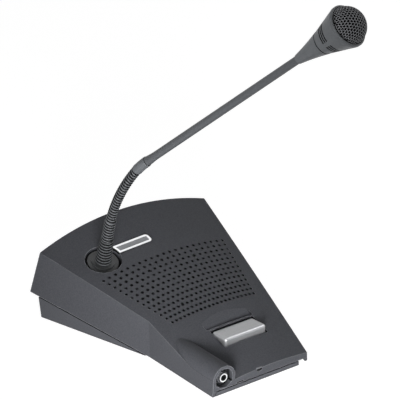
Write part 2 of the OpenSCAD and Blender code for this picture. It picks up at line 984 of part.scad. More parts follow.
module talk_key()
    color(silver)
        difference() {
            union() {
                difference() {
                    intersection() {
                        across(key_width)
                            key_profile(0);
                        linear_extrude(reach)
                            key_plan();
                    }
                    translate([0, 0, -eps])
                        across(key_width - 2 * key_wall)
                            key_profile(key_wall);
                }
                for (side = [-1, 1])
                    translate([side * lug_x, 0, 0])
                        across(lug_w) {
                            translate([hinge_y, hinge_z])
                                circle(lug_r);
                            translate([-key_rear - key_wall, hinge_z - lug_r])
                                square([hinge_y + key_rear + key_wall, 2 * lug_r]);
                        }
                translate([0, switch_y, plunger_top + push_gap])
                    cylinder(d = plunger_d, h = key_under(switch_y) + key_wall / 2 - plunger_top - push_gap);
            }
            hinge_rod(pin_d + 2 * pin_fit, 2 * key_width);
        }

module key_hinge_pin()
    color(steel)
        hinge_rod(pin_d, 2 * ear_x + ear_w);

module key_switch()
    color(black)
        difference() {
            translate([-switch_size / 2, switch_y - switch_size / 2, key_board_z + board_thick])
                cube([switch_size, switch_size, switch_h]);
            translate([0, switch_y, key_board_z + board_thick + 0.4])
                cylinder(d = plunger_d + slip, h = switch_h);
        }

module switch_plunger()
    color(silver)
        translate([0, switch_y, plunger_low])
            cylinder(d = plunger_d, h = plunger_top - plunger_low);

// Points of a ring of a tube, square to the tube's direction
function ring(at, out, up, r, sides) = [for (k = [0 : sides - 1])
    at + r * (cos(360 * k / sides) * out + sin(360 * k / sides) * up)];

function band_faces(rings, sides, closed) = [for (i = [0 : closed ? rings - 1 : rings - 2]) for (k = [0 : sides - 1])
    let (a = i * sides, b = (i + 1) % rings * sides, n = (k + 1) % sides)
    each [[a + k, b + k, a + n], [a + n, b + k, b + n]]];

// Middle of a coil spring's wire after a number of turns: close turns at both ends, open ones between
function spring_rise(t) = t < 1 ? 0 : t > spring_turns - 1 ? 1 : (t - 1) / (spring_turns - 2);
function spring_at(t) = let (r = (spring_d - spring_wire) / 2, low = spring_bottom + spring_wire / 2,
    high = spring_top - spring_wire / 2)
    [r * cos(360 * t), r * sin(360 * t), low + spring_lift * (min(t, 1) + max(t - spring_turns + 1, 0))
        + (high - low - 2 * spring_lift) * spring_rise(t)];

module key_spring() {
    points = [for (i = [0 : spring_steps]) let (t = i / spring_rings, c = spring_at(t))
        each ring(c, [cos(360 * t), sin(360 * t), 0], [0, 0, 1], spring_wire / 2, spring_sides)];
    first = [for (k = [0 : spring_sides - 1]) k];
    last = [for (k = [spring_sides - 1 : -1 : 0]) spring_steps * spring_sides + k];
    polyhedron(points, concat(band_faces(spring_steps + 1, spring_sides, false), [first], [last]));
}

// Least gap between one turn and the next, measured on the wire's middle line
spring_gaps = [for (i = [0 : spring_steps]) for (j = [i + spring_rings / 2 : spring_steps])
    norm(spring_at(i / spring_rings) - spring_at(j / spring_rings)) - spring_wire];
echo(spring_least_gap = min(spring_gaps));

module key_springs()
    color(steel)
        for (side = [-1, 1])
            translate([side * spring_x, spring_y, 0])
                key_spring();

// Window in the status bar: its left end follows the well
module bar_window(extra, low, high)
    difference() {
        bar_block(bar_length - 2 * bar_border + 2 * extra, bar_height - 2 * bar_border + 2 * extra, low, high);
        well_cut(bar_border - extra, 2 * well_depth);
    }

module status_frame()
    color(silver)
        difference() {
            bar_block(bar_length, bar_height, -wall, frame_rise);
            bar_window(0, -2 * wall, wall);
            well_cut(0, 2 * well_depth);
        }

module status_window()
    color([0.35, 0.35, 0.37])
        bar_window(-seat, -wall / 2, window_rise);

module status_lights()
    color([0.9, 0.9, 0.85])
        on_top(-bar_x, bar_y)
            for (k = [-1 : 1])
                translate([bar_border + k * light_pitch, 0, -wall])
                    cylinder(d = light_d, h = wall / 2 - seat);

module neck_flange()
    color(dark_grey)
        neck_frame()
            difference() {
                union() {
                    translate([0, 0, -well_depth])
                        cylinder(d = flange_d, h = well_depth - flange_top);
                    translate([0, 0, -well_depth])
                        cylinder(d = ring_d, h = well_depth - ring_top);
                    translate([0, 0, -well_depth - shank_length])
                        cylinder(d = shank_d, h = shank_length + eps);
                }
                translate([0, 0, -reach / 2])
                    cylinder(d = flex_bore, h = reach);
            }

module neck_nut()
    color(steel)
        neck_frame()
            translate([0, 0, -well_depth - wall - nut_h])
                difference() {
                    cylinder(d = ring_d, h = nut_h, $fn = 6);
                    translate([0, 0, -1])
                        cylinder(d = shank_d + 2 * seat, h = nut_h + 2);
                }

// Radius of the tapering boot at a height above its foot
function boot_r(z) = (boot_d + (boot_top_d - boot_d) * z / boot_height) / 2;

// Boot with ribs: a crest and a groove for each
module neck_boot()
    color(dark_grey)
        neck_frame()
            translate([0, 0, -ring_top])
                rotate_extrude()
                    polygon(concat([[flex_bore / 2, 0]],
                        [for (k = [0 : boot_ribs - 1]) let (z = k * boot_pitch) each [
                            [boot_r(z) - rib_depth, z], [boot_r(z), z + 0.3 * boot_pitch],
                            [boot_r(z), z + 0.6 * boot_pitch], [boot_r(z) - rib_depth, z + 0.9 * boot_pitch]]],
                        [[boot_top_d / 2 - rib_depth, boot_height], [flex_bore / 2, boot_height]]));

// Route of the flexible neck above the boot: straight, then a bend that the collar goes on with
function bent(s, length, angle) = let (r = length * 180 / (angle * PI), a = angle * s / length)
    [-r * (1 - cos(a)), r * sin(a)];
flex_length = flex_straight + flex_bend;
function flex_lean(s) = max(s - flex_straight, 0) * flex_angle / flex_bend;
function flex_at(s) = s < flex_straight ? [0, s]
    : [0, flex_straight] + bent(s - flex_straight, flex_bend, flex_angle);
function flex_r(s) = (s < foot_length ? foot_d : flex_d) / 2;

// Flexible neck: rings at the crest and the root of each rib outside, and rings along the bore inside
module gooseneck_flex() {
    pitch = flex_length / flex_ribs;
    outer = concat([for (k = [0 : flex_ribs - 1]) each [[k * pitch, flex_r(k * pitch) - rib_depth],
        [(k + 0.5) * pitch, flex_r(k * pitch)]]], [[flex_length, flex_d / 2 - rib_depth]]);
    inner = [for (k = [flex_ribs : -1 : 0]) [k * pitch, flex_bore / 2]];
    stations = concat(outer, inner);
    points = [for (p = stations) let (c = flex_at(p[0]), lean = flex_lean(p[0]))
        each ring([0, c[0], c[1]], [1, 0, 0], [0, cos(lean), sin(lean)], p[1], flex_sides)];
    color(black)
        neck_frame()
            translate([0, 0, boot_length])
                polyhedron(points, band_faces(len(stations), flex_sides, true));
}

// Frame at the end of the flexible neck, looking along it
module collar_frame() {
    end = flex_at(flex_length);
    neck_frame()
        translate([0, end[0], boot_length + end[1]])
            rotate([flex_angle, 0, 0])
                children();
}

// Radius of the collar's bend
collar_bend = collar_length * 180 / (collar_angle * PI);

// Frame at the end of the collar, looking along the stem
module arm_frame()
    collar_frame()
        translate([0, -collar_bend, 0])
            rotate([collar_angle, 0, 0])
                translate([0, collar_bend, 0])
                    children();

// Bent rod that goes on from the flexible neck
module collar_rod(d)
    collar_frame()
        translate([0, -collar_bend, 0])
            rotate([0, 90, 0])
                rotate([0, 0, 90])
                    rotate_extrude(angle = collar_angle)
                        translate([collar_bend, 0])
                            circle(d = d);

// Bent sleeve with a pin that the stem is pushed on
module stem_collar()
    color(charcoal)
        difference() {
            union() {
                collar_rod(collar_d);
                arm_frame()
                    translate([0, 0, -1])
                        cylinder(d = stem_bore - 2 * seat, h = collar_pin + 1);
            }
            collar_rod(pin_bore);
            arm_frame()
                translate([0, 0, -1])
                    cylinder(d = pin_bore + slip, h = collar_pin + 2);
        }

module stem_tube()
    color(charcoal)
        arm_frame()
            difference() {
                union() {
                    translate([0, 0, stem_gap])
                        cylinder(d1 = stem_foot_d, d2 = stem_d, h = stem_foot - stem_gap);
                    translate([0, 0, stem_foot - eps])
                        cylinder(d = stem_d, h = head_start + stem_depth - stem_foot + eps);
                }
                translate([0, 0, -1])
                    cylinder(d = stem_bore, h = head_start + stem_depth + 2);
            }

// Radius of the rear cone, which flares a little, at a share of its length
function cone_r(t) = stem_d / 2 + cone_lip + (seam_d / 2 - stem_d / 2 - cone_lip) * (0.75 * t + 0.25 * t * t);

module mic_cone()
    color(charcoal)
        arm_frame()
            translate([0, 0, head_start])
                rotate_extrude()
                    polygon(concat([[stem_d / 2 + seat, 0]],
                        [for (k = [0 : 10]) [cone_r(k / 10), cone_length * k / 10]],
                        [[seam_d / 2 - mic_wall - seat, cone_length],
                            [seam_d / 2 - mic_wall - seat, cone_length + spigot],
                            [seam_d / 2 - 2 * mic_wall, cone_length + spigot],
                            [seam_d / 2 - 2 * mic_wall, cone_length],
                            [stem_d / 2 + seat, stem_depth + 3], [stem_bore / 2, stem_depth + 3],
                            [stem_bore / 2, stem_depth], [stem_d / 2 + seat, stem_depth]]));

// Inner radius of the conical barrel above its seam
function barrel_inner(z) = seam_d / 2 - mic_wall
    + (rim_d / 2 - 2 * rim_wall - seam_d / 2 + mic_wall) * z / (barrel_length - rim_wall);

module mic_barrel()
    color(charcoal)
        arm_frame()
            translate([0, 0, barrel_start])
                difference() {
                    rotate_extrude()
                        polygon([[seam_d / 2 - mic_wall, 0], [seam_d / 2, 0], [rim_d / 2, barrel_length],
                            [rim_d / 2, barrel_length + rim_h - 0.8], [rim_d / 2 - 0.5, barrel_length + rim_h],
                            [rim_d / 2 - rim_wall, barrel_length + rim_h], [rim_d / 2 - rim_wall, barrel_length],
                            [rim_d / 2 - 2 * rim_wall, barrel_length - rim_wall]]);
                    for (group = [0 : slot_groups - 1])
                        rotate([0, 0, 360 / slot_groups * group])
                            for (k = [0 : slots - 1])
                                translate([0, 0, slot_start + slot_pitch * k])
                                    rotate_extrude(angle = 360 / slot_groups * slot_share)
                                        translate([seam_d / 4, 0])
                                            square([rim_d, slot_width]);
                }

module dome_ball_at(r)
    translate([0, 0, dome_height - dome_ball])
        sphere(r = r);

module mic_dome()
    color(black)
        arm_frame()
            translate([0, 0, barrel_end + rim_h - dome_wall])
                difference() {
                    intersection() {
                        dome_ball_at(dome_ball);
                        cylinder(r = dome_r, h = reach);
                    }
                    dome_ball_at(dome_ball - dome_wall);
                    translate([0, 0, dome_height - dome_ball])
                        for (ring_k = [0 : dome_rings - 1])
                            for (k = [0 : max(6 * ring_k - 1, 0)])
                                rotate([0, 0, 360 * k / max(6 * ring_k, 1)])
                                    rotate([0, ring_k * asin(dome_r / dome_ball) / (dome_rings - 0.2), 0])
                                        translate([0, 0, dome_ball - 2 * dome_wall])
                                            cylinder(d = dome_hole_d, h = 4 * dome_wall, $fn = 16);
                }

module mic_foam()
    color(black)
        arm_frame()
            translate([0, 0, barrel_end + rim_h - dome_wall])
                intersection() {
                    difference() {
                        dome_ball_at(dome_ball - dome_wall - seat);
                        dome_ball_at(dome_ball - dome_wall - seat - foam_thick);
                    }
                    cylinder(r = dome_r - 2 * rim_wall, h = reach);
                }

module capsule_carrier()
    color(dark_grey)
        arm_frame()
            translate([0, 0, barrel_start + carrier_z])
                rotate_extrude()
                    polygon([[capsule_d / 2 + seat, 0], [barrel_inner(carrier_z) - 2 * seat, 0],
                        [barrel_inner(carrier_z + carrier_h) - 2 * seat, carrier_h],
                        [capsule_d / 2 + seat, carrier_h]]);

module mic_capsule()
    color(silver)
        arm_frame()
            translate([0, 0, barrel_start + carrier_z + (carrier_h - capsule_h) / 2])
                cylinder(d = capsule_d, h = capsule_h);

top_cover();
bottom_tray();
ballast_plate();
base_pad();
cover_screws();
speaker_gauze();
speaker_frame();
speaker_cone();
speaker_magnet();
speaker_screws();
talk_key();
key_hinge_pin();
key_springs();
key_board();
key_switch();
switch_plunger();
board_screws();
main_board();
network_socket();
headset_jack();
jack_ring();
status_frame();
status_window();
status_lights();
neck_flange();
neck_nut();
neck_boot();
gooseneck_flex();
stem_collar();
stem_tube();
mic_cone();
mic_barrel();
mic_dome();
mic_foam();
capsule_carrier();
mic_capsule();
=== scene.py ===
# %% [markdown]
# # A paging call station
# This is a desk unit for speaking announcements. A wedge of charcoal plastic holds a loudspeaker and a wide silver
# talk key, and a microphone stands over it on a flexible neck. The engineering solids come in first and stay where
# they are. Blender then gives each of them its finish, and takes over the pieces that a solid draws too plainly.

# %% The solids
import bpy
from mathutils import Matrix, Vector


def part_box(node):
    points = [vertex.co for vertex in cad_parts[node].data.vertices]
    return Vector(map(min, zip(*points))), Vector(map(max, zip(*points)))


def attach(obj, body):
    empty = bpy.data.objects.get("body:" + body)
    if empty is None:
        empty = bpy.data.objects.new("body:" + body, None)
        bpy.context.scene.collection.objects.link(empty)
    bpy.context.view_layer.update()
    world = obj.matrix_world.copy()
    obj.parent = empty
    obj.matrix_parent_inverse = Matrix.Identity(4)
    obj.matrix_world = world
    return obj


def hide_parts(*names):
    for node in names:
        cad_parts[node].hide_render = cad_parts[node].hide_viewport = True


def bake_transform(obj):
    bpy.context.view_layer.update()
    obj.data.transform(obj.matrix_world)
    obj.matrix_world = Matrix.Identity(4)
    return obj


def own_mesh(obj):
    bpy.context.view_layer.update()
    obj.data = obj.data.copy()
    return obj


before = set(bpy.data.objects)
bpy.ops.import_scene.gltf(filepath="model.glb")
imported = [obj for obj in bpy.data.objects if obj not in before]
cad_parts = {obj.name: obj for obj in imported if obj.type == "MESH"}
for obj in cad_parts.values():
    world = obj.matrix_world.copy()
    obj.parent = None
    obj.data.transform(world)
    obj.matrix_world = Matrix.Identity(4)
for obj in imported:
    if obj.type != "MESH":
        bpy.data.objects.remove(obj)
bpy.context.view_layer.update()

# %% [markdown]
# Everything below is written in millimetres, as on a drawing, and multiplied by MM when it goes into a mesh, because
# Blender works in metres. The Standard view shows a colour as it is written, with no film curve over it.

# %% Units and view
import bmesh
import bpy
import numpy as np

MM = 0.001
scene = bpy.context.scene
scene.view_settings.view_transform = "Standard"
print("one millimetre is", MM, "of Blender's units")

# %% [markdown]
# ## Camera
# The picture was taken from some way off, ahead of the left front corner and a little above it. A long lens at two
# metres gives that flat perspective. The angles are those at which the corners of the base fall where they do in the
# picture.

# %% Camera
AZIMUTH, ELEVATION, LENS = 37.433, 25.715, 266.5
camera = bpy.data.objects.new("camera", bpy.data.cameras.new("camera"))
scene.collection.objects.link(camera)
camera.location = (-1.2304, -1.6154, 1.0892)
camera.rotation_euler = (np.radians(90 - ELEVATION), 0, np.radians(-AZIMUTH))
camera.data.lens = LENS
camera.data.sensor_width = 36
scene.camera = camera
print("camera at", tuple(round(x, 3) for x in camera.location))

# %% [markdown]
# ## A helper for nodes, and one for colours
# A material is a small graph. One function adds a node: its settings by name, and for each socket a value or the
# output of another node. Colours are written as on a paint card, in sRGB, and turned to the linear light that the
# shader counts in.

# %% Nodes and colours
def linear(card):
    """sRGB hex to linear: each channel c is c/12.92 up to 0.04045, and ((c + 0.055)/1.055) to the 2.4 above it."""
    c = np.array([int(card[i:i + 2], 16) for i in (1, 3, 5)]) / 255
    return (*np.where(c <= 0.04045, c / 12.92, ((c + 0.055) / 1.055) ** 2.4).tolist(), 1.0)


def add(tree, kind, sockets=None, **settings):
    """Adds one node to the tree. A socket gets a value, or a link if it is given another node's output."""
    node = tree.nodes.new(kind)
    for name, value in settings.items():
        setattr(node, name, value)
    for name, value in (sockets or {}).items():
        if isinstance(value, bpy.types.NodeSocket):
            tree.links.new(value, node.inputs[name])
        else:
            node.inputs[name].default_value = value
    return node


print("charcoal in linear light:", [round(x, 3) for x in linear("#4a4b4f")])

# %% [markdown]
# ## Floor and light
# The unit stands on a white sweep in a white room. To the camera, and in a gloss, both are white by themselves. As
# lamps both are dim, so that the light on the unit comes from the side and its top stays darker than its walls, as in
# the picture.

# %% World
def seen_rays(tree):
    """1 for a ray that the eye sees directly, in a gloss or through glass, and 0 for one that only carries light."""
    path = add(tree, "ShaderNodeLightPath").outputs
    seen = add(tree, "ShaderNodeMath", {0: path["Is Camera Ray"], 1: path["Is Glossy Ray"]}, operation="MAXIMUM")
    seen = add(tree, "ShaderNodeMath", {0: seen.outputs[0], 1: path["Is Transmission Ray"]}, operation="MAXIMUM")
    return seen.outputs[0]


WORLD_LIGHT = 0.09
world = bpy.data.worlds.new("white_studio")
scene.world = world
world.use_nodes = True
sky = world.node_tree
sky.nodes.clear()
dim = add(sky, "ShaderNodeBackground", {"Color": linear("#ffffff"), "Strength": WORLD_LIGHT})
white = add(sky, "ShaderNodeBackground", {"Color": linear("#ffffff"), "Strength": 1.0})
both = add(sky, "ShaderNodeMixShader", {0: seen_rays(sky), 1: dim.outputs[0], 2: white.outputs[0]})
add(sky, "ShaderNodeOutputWorld", {"Surface": both.outputs[0]})
print("world is white to the eye and", WORLD_LIGHT, "as a lamp")

# %% [markdown]
# The sweep is one large sheet of paper. Only a share of what the camera sees of it takes the shadow, which so stays a
# soft grey, and the rest glows white.

# %% Floor
SHADOW_SHARE, GLOW = 0.3, 1.34
floor_mesh = bpy.data.meshes.new("floor")
floor_mesh.from_pydata([(-4, -4, 0), (4, -4, 0), (4, 6, 0), (-4, 6, 0)], [], [(0, 1, 2, 3)])
floor = bpy.data.objects.new("floor", floor_mesh)
scene.collection.objects.link(floor)
paper_sweep = bpy.data.materials.new("paper_sweep_matt")
paper_sweep.use_nodes = True
sweep = paper_sweep.node_tree
sweep.nodes.clear()
matt = add(sweep, "ShaderNodeBsdfDiffuse", {"Color": linear("#f4f4f4")})
glow = add(sweep, "ShaderNodeEmission", {"Color": linear("#ffffff"), "Strength": GLOW})
half = add(sweep, "ShaderNodeMixShader", {0: SHADOW_SHARE, 1: glow.outputs[0], 2: matt.outputs[0]})
each = add(sweep, "ShaderNodeMixShader", {0: seen_rays(sweep), 1: matt.outputs[0], 2: half.outputs[0]})
add(sweep, "ShaderNodeOutputMaterial", {"Surface": each.outputs[0]})
floor_mesh.materials.append(paper_sweep)
print("floor of", floor.dimensions.x, "by", floor.dimensions.y, "m")

# %% [markdown]
# Four soft boxes do the rest. The main one stands low and close, off the front left corner: the wall that faces that
# corner is the brightest plastic in the picture, the long wall and the front of the top come next, and the rear is
# darkest. A grid keeps its beam on the base, so a second one with a narrow beam lights the stem and the microphone
# from the left. One high at the right lays a bright line along the rounded front of the key, and one behind draws the
# edges.

# %% Lamps
def soft_box(name, place, target, size, power, beam=180):
    """A square area lamp at place whose own -Z axis looks at target, in metres. A grid narrows its beam, in degrees."""
    lamp = bpy.data.objects.new(name, bpy.data.lights.new(name, "AREA"))
    lamp.data.size, lamp.data.energy, lamp.data.spread = size, power, np.radians(beam)
    lamp.location = place
    aim = lamp.location.copy()
    aim[:] = np.subtract(place, target)
    lamp.rotation_euler = aim.to_track_quat("Z", "Y").to_euler()
    lamp.visible_camera = False
    scene.collection.objects.link(lamp)
    return lamp


lamps = [
    soft_box("box_near", (-0.46, -0.56, 0.09), (-0.03, -0.05, 0.03), 0.25, 0.95, 44),
    soft_box("box_head", (-1.0, -0.25, 0.6), (-0.01, -0.12, 0.28), 0.2, 0.16, 24),
    soft_box("box_right", (0.72, -0.54, 0.88), (0, -0.05, 0.03), 0.4, 3),
    soft_box("box_rear", (0.5, 1.3, 1.0), (0, 0, 0.1), 0.8, 0.7),
]
print("lamps:", ", ".join(f"{x.name} {x.data.energy:g} W" for x in lamps))

# %% [markdown]
# ## Finishes with a grain
# Most pieces here are moulded, painted or cast, and all such skins have the same build: a colour that wavers a
# little, and a relief of small bumps. One function draws that from a noise whose size is given in millimetres, in
# Object coordinates so that it is the same from every side. What differs between finishes is written at each call.
# Some finishes also get painted light and shade, placed by the Ambient Occlusion node. Looking into a piece, it finds
# little plastic at an edge, which is painted lighter as a painted highlight. Looking out, it finds little sky in a
# gap, which is painted nearly black as a painted shade.

# %% Grained finishes
# Painted light and shade: how far a painted highlight reaches in from an edge, how far a painted shade reaches out from
# a gap, in mm, and the near black of that shade.
EDGE_REACH, GAP_REACH, PAINTED_SHADE_BLACK = 0.6, 2.5, "#060607"
# Grille field, in mm: here the rims of the holes get the painted shade instead of the painted highlight.
FIELD_TAPER, FIELD_HALF, FIELD_Y, FIELD_REACH = 0.29, 47.0, 6.0, 36.0


def blank(name):
    """A new material with an empty graph: gives the material, the graph and the Object coordinates in it."""
    material = bpy.data.materials.new(name)
    material.use_nodes = True
    tree = material.node_tree
    tree.nodes.clear()
    return material, tree, add(tree, "ShaderNodeTexCoord").outputs["Object"]


def painted_lit_and_shaded(tree, where, colour, highlight_colour):
    """Colour with painted light and shade: it goes to the highlight colour at edges, a painted highlight, and to black
    in gaps, a painted shade. In the grille's field, where |x| - taper y < half and |y - middle| < reach, the rims of
    the holes are painted black too, a painted shade that makes the holes look larger."""
    inwards = add(tree, "ShaderNodeAmbientOcclusion", {"Distance": EDGE_REACH * MM},
                  inside=True, only_local=True, samples=6).outputs["AO"]
    # Mask of the painted highlight: 1 at an edge, 0 on a flat.
    edge = add(tree, "ShaderNodeMapRange", {"Value": inwards, "From Min": 0.9, "From Max": 0.4}).outputs[0]
    place = add(tree, "ShaderNodeSeparateXYZ", {0: where}).outputs
    across = add(tree, "ShaderNodeMath", {0: place[0]}, operation="ABSOLUTE").outputs[0]
    slant = add(tree, "ShaderNodeMath", {0: place[1], 1: -FIELD_TAPER, 2: across}, operation="MULTIPLY_ADD").outputs[0]
    within = add(tree, "ShaderNodeMath", {0: slant, 1: FIELD_HALF * MM}, operation="LESS_THAN").outputs[0]
    along = add(tree, "ShaderNodeMath", {0: place[1], 1: FIELD_Y * MM, 2: FIELD_REACH * MM},
                operation="COMPARE").outputs[0]
    field = add(tree, "ShaderNodeMath", {0: within, 1: along}, operation="MULTIPLY").outputs[0]
    # In the field the rims are painted black, a painted shade; elsewhere they go to the highlight colour.
    rim = add(tree, "ShaderNodeMix", {0: field, 6: linear(highlight_colour), 7: linear(PAINTED_SHADE_BLACK)}, data_type="RGBA").outputs[2]
    most = add(tree, "ShaderNodeMath", {0: field, 1: 1.3, 2: 0.5}, operation="MULTIPLY_ADD").outputs[0]
    share = add(tree, "ShaderNodeMath", {0: edge, 1: most}, operation="MULTIPLY", use_clamp=True).outputs[0]
    colour = add(tree, "ShaderNodeMix", {0: share, 6: colour, 7: rim}, data_type="RGBA").outputs[2]
    # Mask of the painted shade: near 1 where the surface sees little sky.
    outwards = add(tree, "ShaderNodeAmbientOcclusion", {"Distance": GAP_REACH * MM}, samples=6).outputs["AO"]
    gap = add(tree, "ShaderNodeMapRange", {"Value": outwards, "From Min": 0.93, "From Max": 0.6}).outputs[0]
    return add(tree, "ShaderNodeMix", {0: gap, 6: colour, 7: linear(PAINTED_SHADE_BLACK)}, data_type="RGBA").outputs[2]


def grained(name, dark, light, grain, relief, highlight_colour=None, **shader):
    """Principled skin: noise of the given grain (mm) blends two colours, and lifts the surface by relief (mm).
    If a highlight colour is given, edges are painted towards it, a painted highlight, and gaps nearly black, a painted
    shade."""
    material, tree, where = blank(name)
    noise = add(tree, "ShaderNodeTexNoise", {"Vector": where, "Scale": 1 / (grain * MM), "Detail": 2.0}).outputs["Fac"]
    ramp = add(tree, "ShaderNodeValToRGB", {"Fac": noise})
    ramp.color_ramp.elements[0].color, ramp.color_ramp.elements[1].color = linear(dark), linear(light)
    ramp.color_ramp.elements[0].position, ramp.color_ramp.elements[1].position = 0.3, 0.7
    bump = add(tree, "ShaderNodeBump", {"Height": noise, "Distance": relief * MM, "Strength": 1.0})
    colour = ramp.outputs["Color"]
    if highlight_colour:
        # Painted highlight at edges and painted shade in gaps.
        colour = painted_lit_and_shaded(tree, where, colour, highlight_colour)
    skin = add(tree, "ShaderNodeBsdfPrincipled", {"Base Color": colour, "Normal": bump.outputs["Normal"]})
    for socket, value in shader.items():
        skin.inputs[socket.replace("_", " ")].default_value = value
    add(tree, "ShaderNodeOutputMaterial", {"Surface": skin.outputs[0]})
    return material


# Reach of the painted highlight at edges and of the painted shade in gaps.
print("edges are worn over", EDGE_REACH, "mm, and gaps darken within", GAP_REACH, "mm")

# %% [markdown]
# The cover and the tray are ABS, moulded in a tool whose walls were eroded by sparks. That leaves a fine even grain
# of about 0.3 mm, which kills the mirror and leaves a broad, soft sheen. It is drawn at 1 mm, because at the
# picture's size the true grain would vanish. The tray comes from a plainer tool and is a little smoother. Sockets are
# a satin black ABS, the switch's plunger is white acetal with a waxy look, and the caps over the lights are frosted,
# so that they glow evenly.

# %% Moulded plastics
# The cover's edges get a painted highlight, and its gaps and the rims of the grille's holes a painted shade, nearly
# black.
abs_cover = grained("abs_moulded_spark_grain", "#3b3c40", "#46474b", 1.0, 0.05, "#9a9ba0",
                    Roughness=0.6, IOR=1.53, Specular_IOR_Level=0.1)
# The tray's highlight colour is its own dark one, so it gets only painted shade, nearly black in its groove and gaps.
abs_tray = grained("abs_moulded_fine_grain", "#404145", "#494a4e", 0.8, 0.03, "#404145",
                   Roughness=0.52, IOR=1.53, Specular_IOR_Level=0.15)
abs_black = grained("abs_moulded_satin_black", "#0b0c0d", "#131415", 0.9, 0.01,
                    Roughness=0.5, IOR=1.53, Specular_IOR_Level=0.12)
acetal_white = grained("acetal_moulded_white", "#d6d6d2", "#e2e2de", 1.2, 0.01, Roughness=0.42, IOR=1.48)
diffuser = grained("polycarbonate_moulded_frosted", "#c9cdc4", "#dfe2da", 1.0, 0.02, Roughness=0.5, IOR=1.58)
print("plastics:", abs_cover.name, abs_tray.name, abs_black.name)

# %% [markdown]
# Rubber keeps a dull black with hardly any edge to its highlight. The lacquer on the stem and the microphone is
# thicker than the grain under it, so these look a shade smoother than the cover, with a longer highlight. The flange
# is cast zinc under a black powder coat, and the same coat on the dome's sheet is greyed by handling.

# %% Rubber and lacquer
rubber_pad = grained("rubber_moulded_matt", "#1c1c1d", "#262627", 1.1, 0.06, Roughness=0.82, IOR=1.52)
stem_lacquer = grained("aluminium_lacquered_graphite", "#434548", "#47494c", 1.4, 0.004,
                       Roughness=0.42, IOR=1.5, Specular_IOR_Level=0.3)
# The lacquer's highlight colour lies within its own, so it gets only painted shade, nearly black in the slots and gaps.
head_lacquer = grained("abs_lacquered_graphite", "#505255", "#575a5d", 1.0, 0.006, "#55575a",
                       Roughness=0.44, IOR=1.5, Specular_IOR_Level=0.3)
flange_black = grained("zinc_cast_powder_black", "#202122", "#2c2d2e", 0.9, 0.03, Roughness=0.45, IOR=1.5)
# The dome's hole edges get a painted highlight, and its holes and the crevice at the rim a painted shade.
mesh_black = grained("steel_pressed_powder_black", "#5c5d60", "#696a6d", 0.7, 0.01, "#77787b",
                     Roughness=0.5, IOR=1.5, Specular_IOR_Level=0.2)
print("lacquers:", stem_lacquer.name, head_lacquer.name, mesh_black.name)

# %% [markdown]
# Bare and plated metals. Chrome on moulded plastic is a clean mirror with a trace of haze; zinc plate is blotched by
# its crystals; rolled steel is dull and dark; turned aluminium inside the head is plain and satin; gold flash is warm.
# A metal keeps the default IOR, and its colour is the colour of its reflection. The loudspeaker's basket and screws
# are dipped in black and its magnet is ground ferrite, and both are as dull as stone.

# %% Metals
chrome = grained("abs_chrome_plated", "#eff0f2", "#f6f7f8", 6.0, 0.01, Metallic=1.0, Roughness=0.16)
zinc = grained("steel_zinc_plated", "#8f9296", "#aeb1b5", 2.5, 0.02, Metallic=1.0, Roughness=0.38)
steel_dark = grained("steel_rolled_ballast", "#55575a", "#6c6e71", 5.0, 0.03, Metallic=1.0, Roughness=0.5)
turned = grained("aluminium_turned_satin", "#a5a7aa", "#b4b6b9", 0.8, 0.01, Metallic=1.0, Roughness=0.35)
gold = grained("bronze_gold_flashed", "#c9a24a", "#dcb65c", 1.0, 0.01, Metallic=1.0, Roughness=0.25)
basket_black = grained("steel_pressed_dipped_black", "#0d0d0e", "#151516", 1.0, 0.02, Roughness=0.7, IOR=1.5,
                       Specular_IOR_Level=0.1)
ferrite = grained("ferrite_pressed_ground", "#2f2f31", "#3a3a3c", 1.5, 0.04, Roughness=0.7)
print("metals:", chrome.name, zinc.name, turned.name)

# %% [markdown]
# The electronics are hidden in use, but show when the tray is off: green solder mask over glass cloth, whose weave of
# about half a millimetre shows through, and the black paper of the cone with its pressed fibres. Foam is all small
# holes, so it swallows the light.

# %% Boards, paper and foam
solder_mask = grained("glass_epoxy_solder_mask", "#14502f", "#1c6038", 0.6, 0.01, Roughness=0.3, IOR=1.55)
cone_paper = grained("paper_pressed_black", "#19191a", "#242425", 1.3, 0.08, Roughness=0.9)
foam_black = grained("foam_open_cell_black", "#070708", "#141415", 0.8, 0.3, Roughness=1.0, Specular_IOR_Level=0.05)
print("inside:", solder_mask.name, cone_paper.name, foam_black.name)

# %% [markdown]
# ## The talk key's silver
# The key is moulded, then sprayed with a silver paint and clear lacquer. Flakes of metal lie flat in the paint, so it
# shines like brushed metal but softer. The spray also leaves long faint streaks along the key, drawn here by a noise
# that is stretched along X.

# %% Silver paint
silver_paint, tree, where = blank("abs_sprayed_silver")
stretch = add(tree, "ShaderNodeMapping", {"Vector": where, "Scale": (1 / (9 * MM), 1 / (0.9 * MM), 1 / (0.9 * MM))})
streak = add(tree, "ShaderNodeTexNoise", {"Vector": stretch.outputs[0], "Scale": 1.0, "Detail": 2.0})
flake = add(tree, "ShaderNodeTexNoise", {"Vector": where, "Scale": 1 / (0.8 * MM), "Detail": 1.0})
tone = add(tree, "ShaderNodeValToRGB", {"Fac": streak.outputs["Fac"]})
tone.color_ramp.elements[0].color, tone.color_ramp.elements[1].color = linear("#8f9092"), linear("#a4a5a7")
gloss = add(tree, "ShaderNodeMapRange", {"Value": flake.outputs["Fac"], "To Min": 0.25, "To Max": 0.36})
lift = add(tree, "ShaderNodeBump", {"Height": flake.outputs["Fac"], "Distance": 0.004 * MM, "Strength": 1.0})
skin = add(tree, "ShaderNodeBsdfPrincipled", {
    "Base Color": tone.outputs["Color"], "Roughness": gloss.outputs[0], "Normal": lift.outputs[0], "Metallic": 0.7})
add(tree, "ShaderNodeOutputMaterial", {"Surface": skin.outputs[0]})
print("key finish:", silver_paint.name)

# %% [markdown]
# ## Smoked window
# A strip of grey acrylic closes the status bar. Its face is brushed across in fine lines so that the lights behind it
# spread, which gives a satin grey that is darker than the chrome round it.

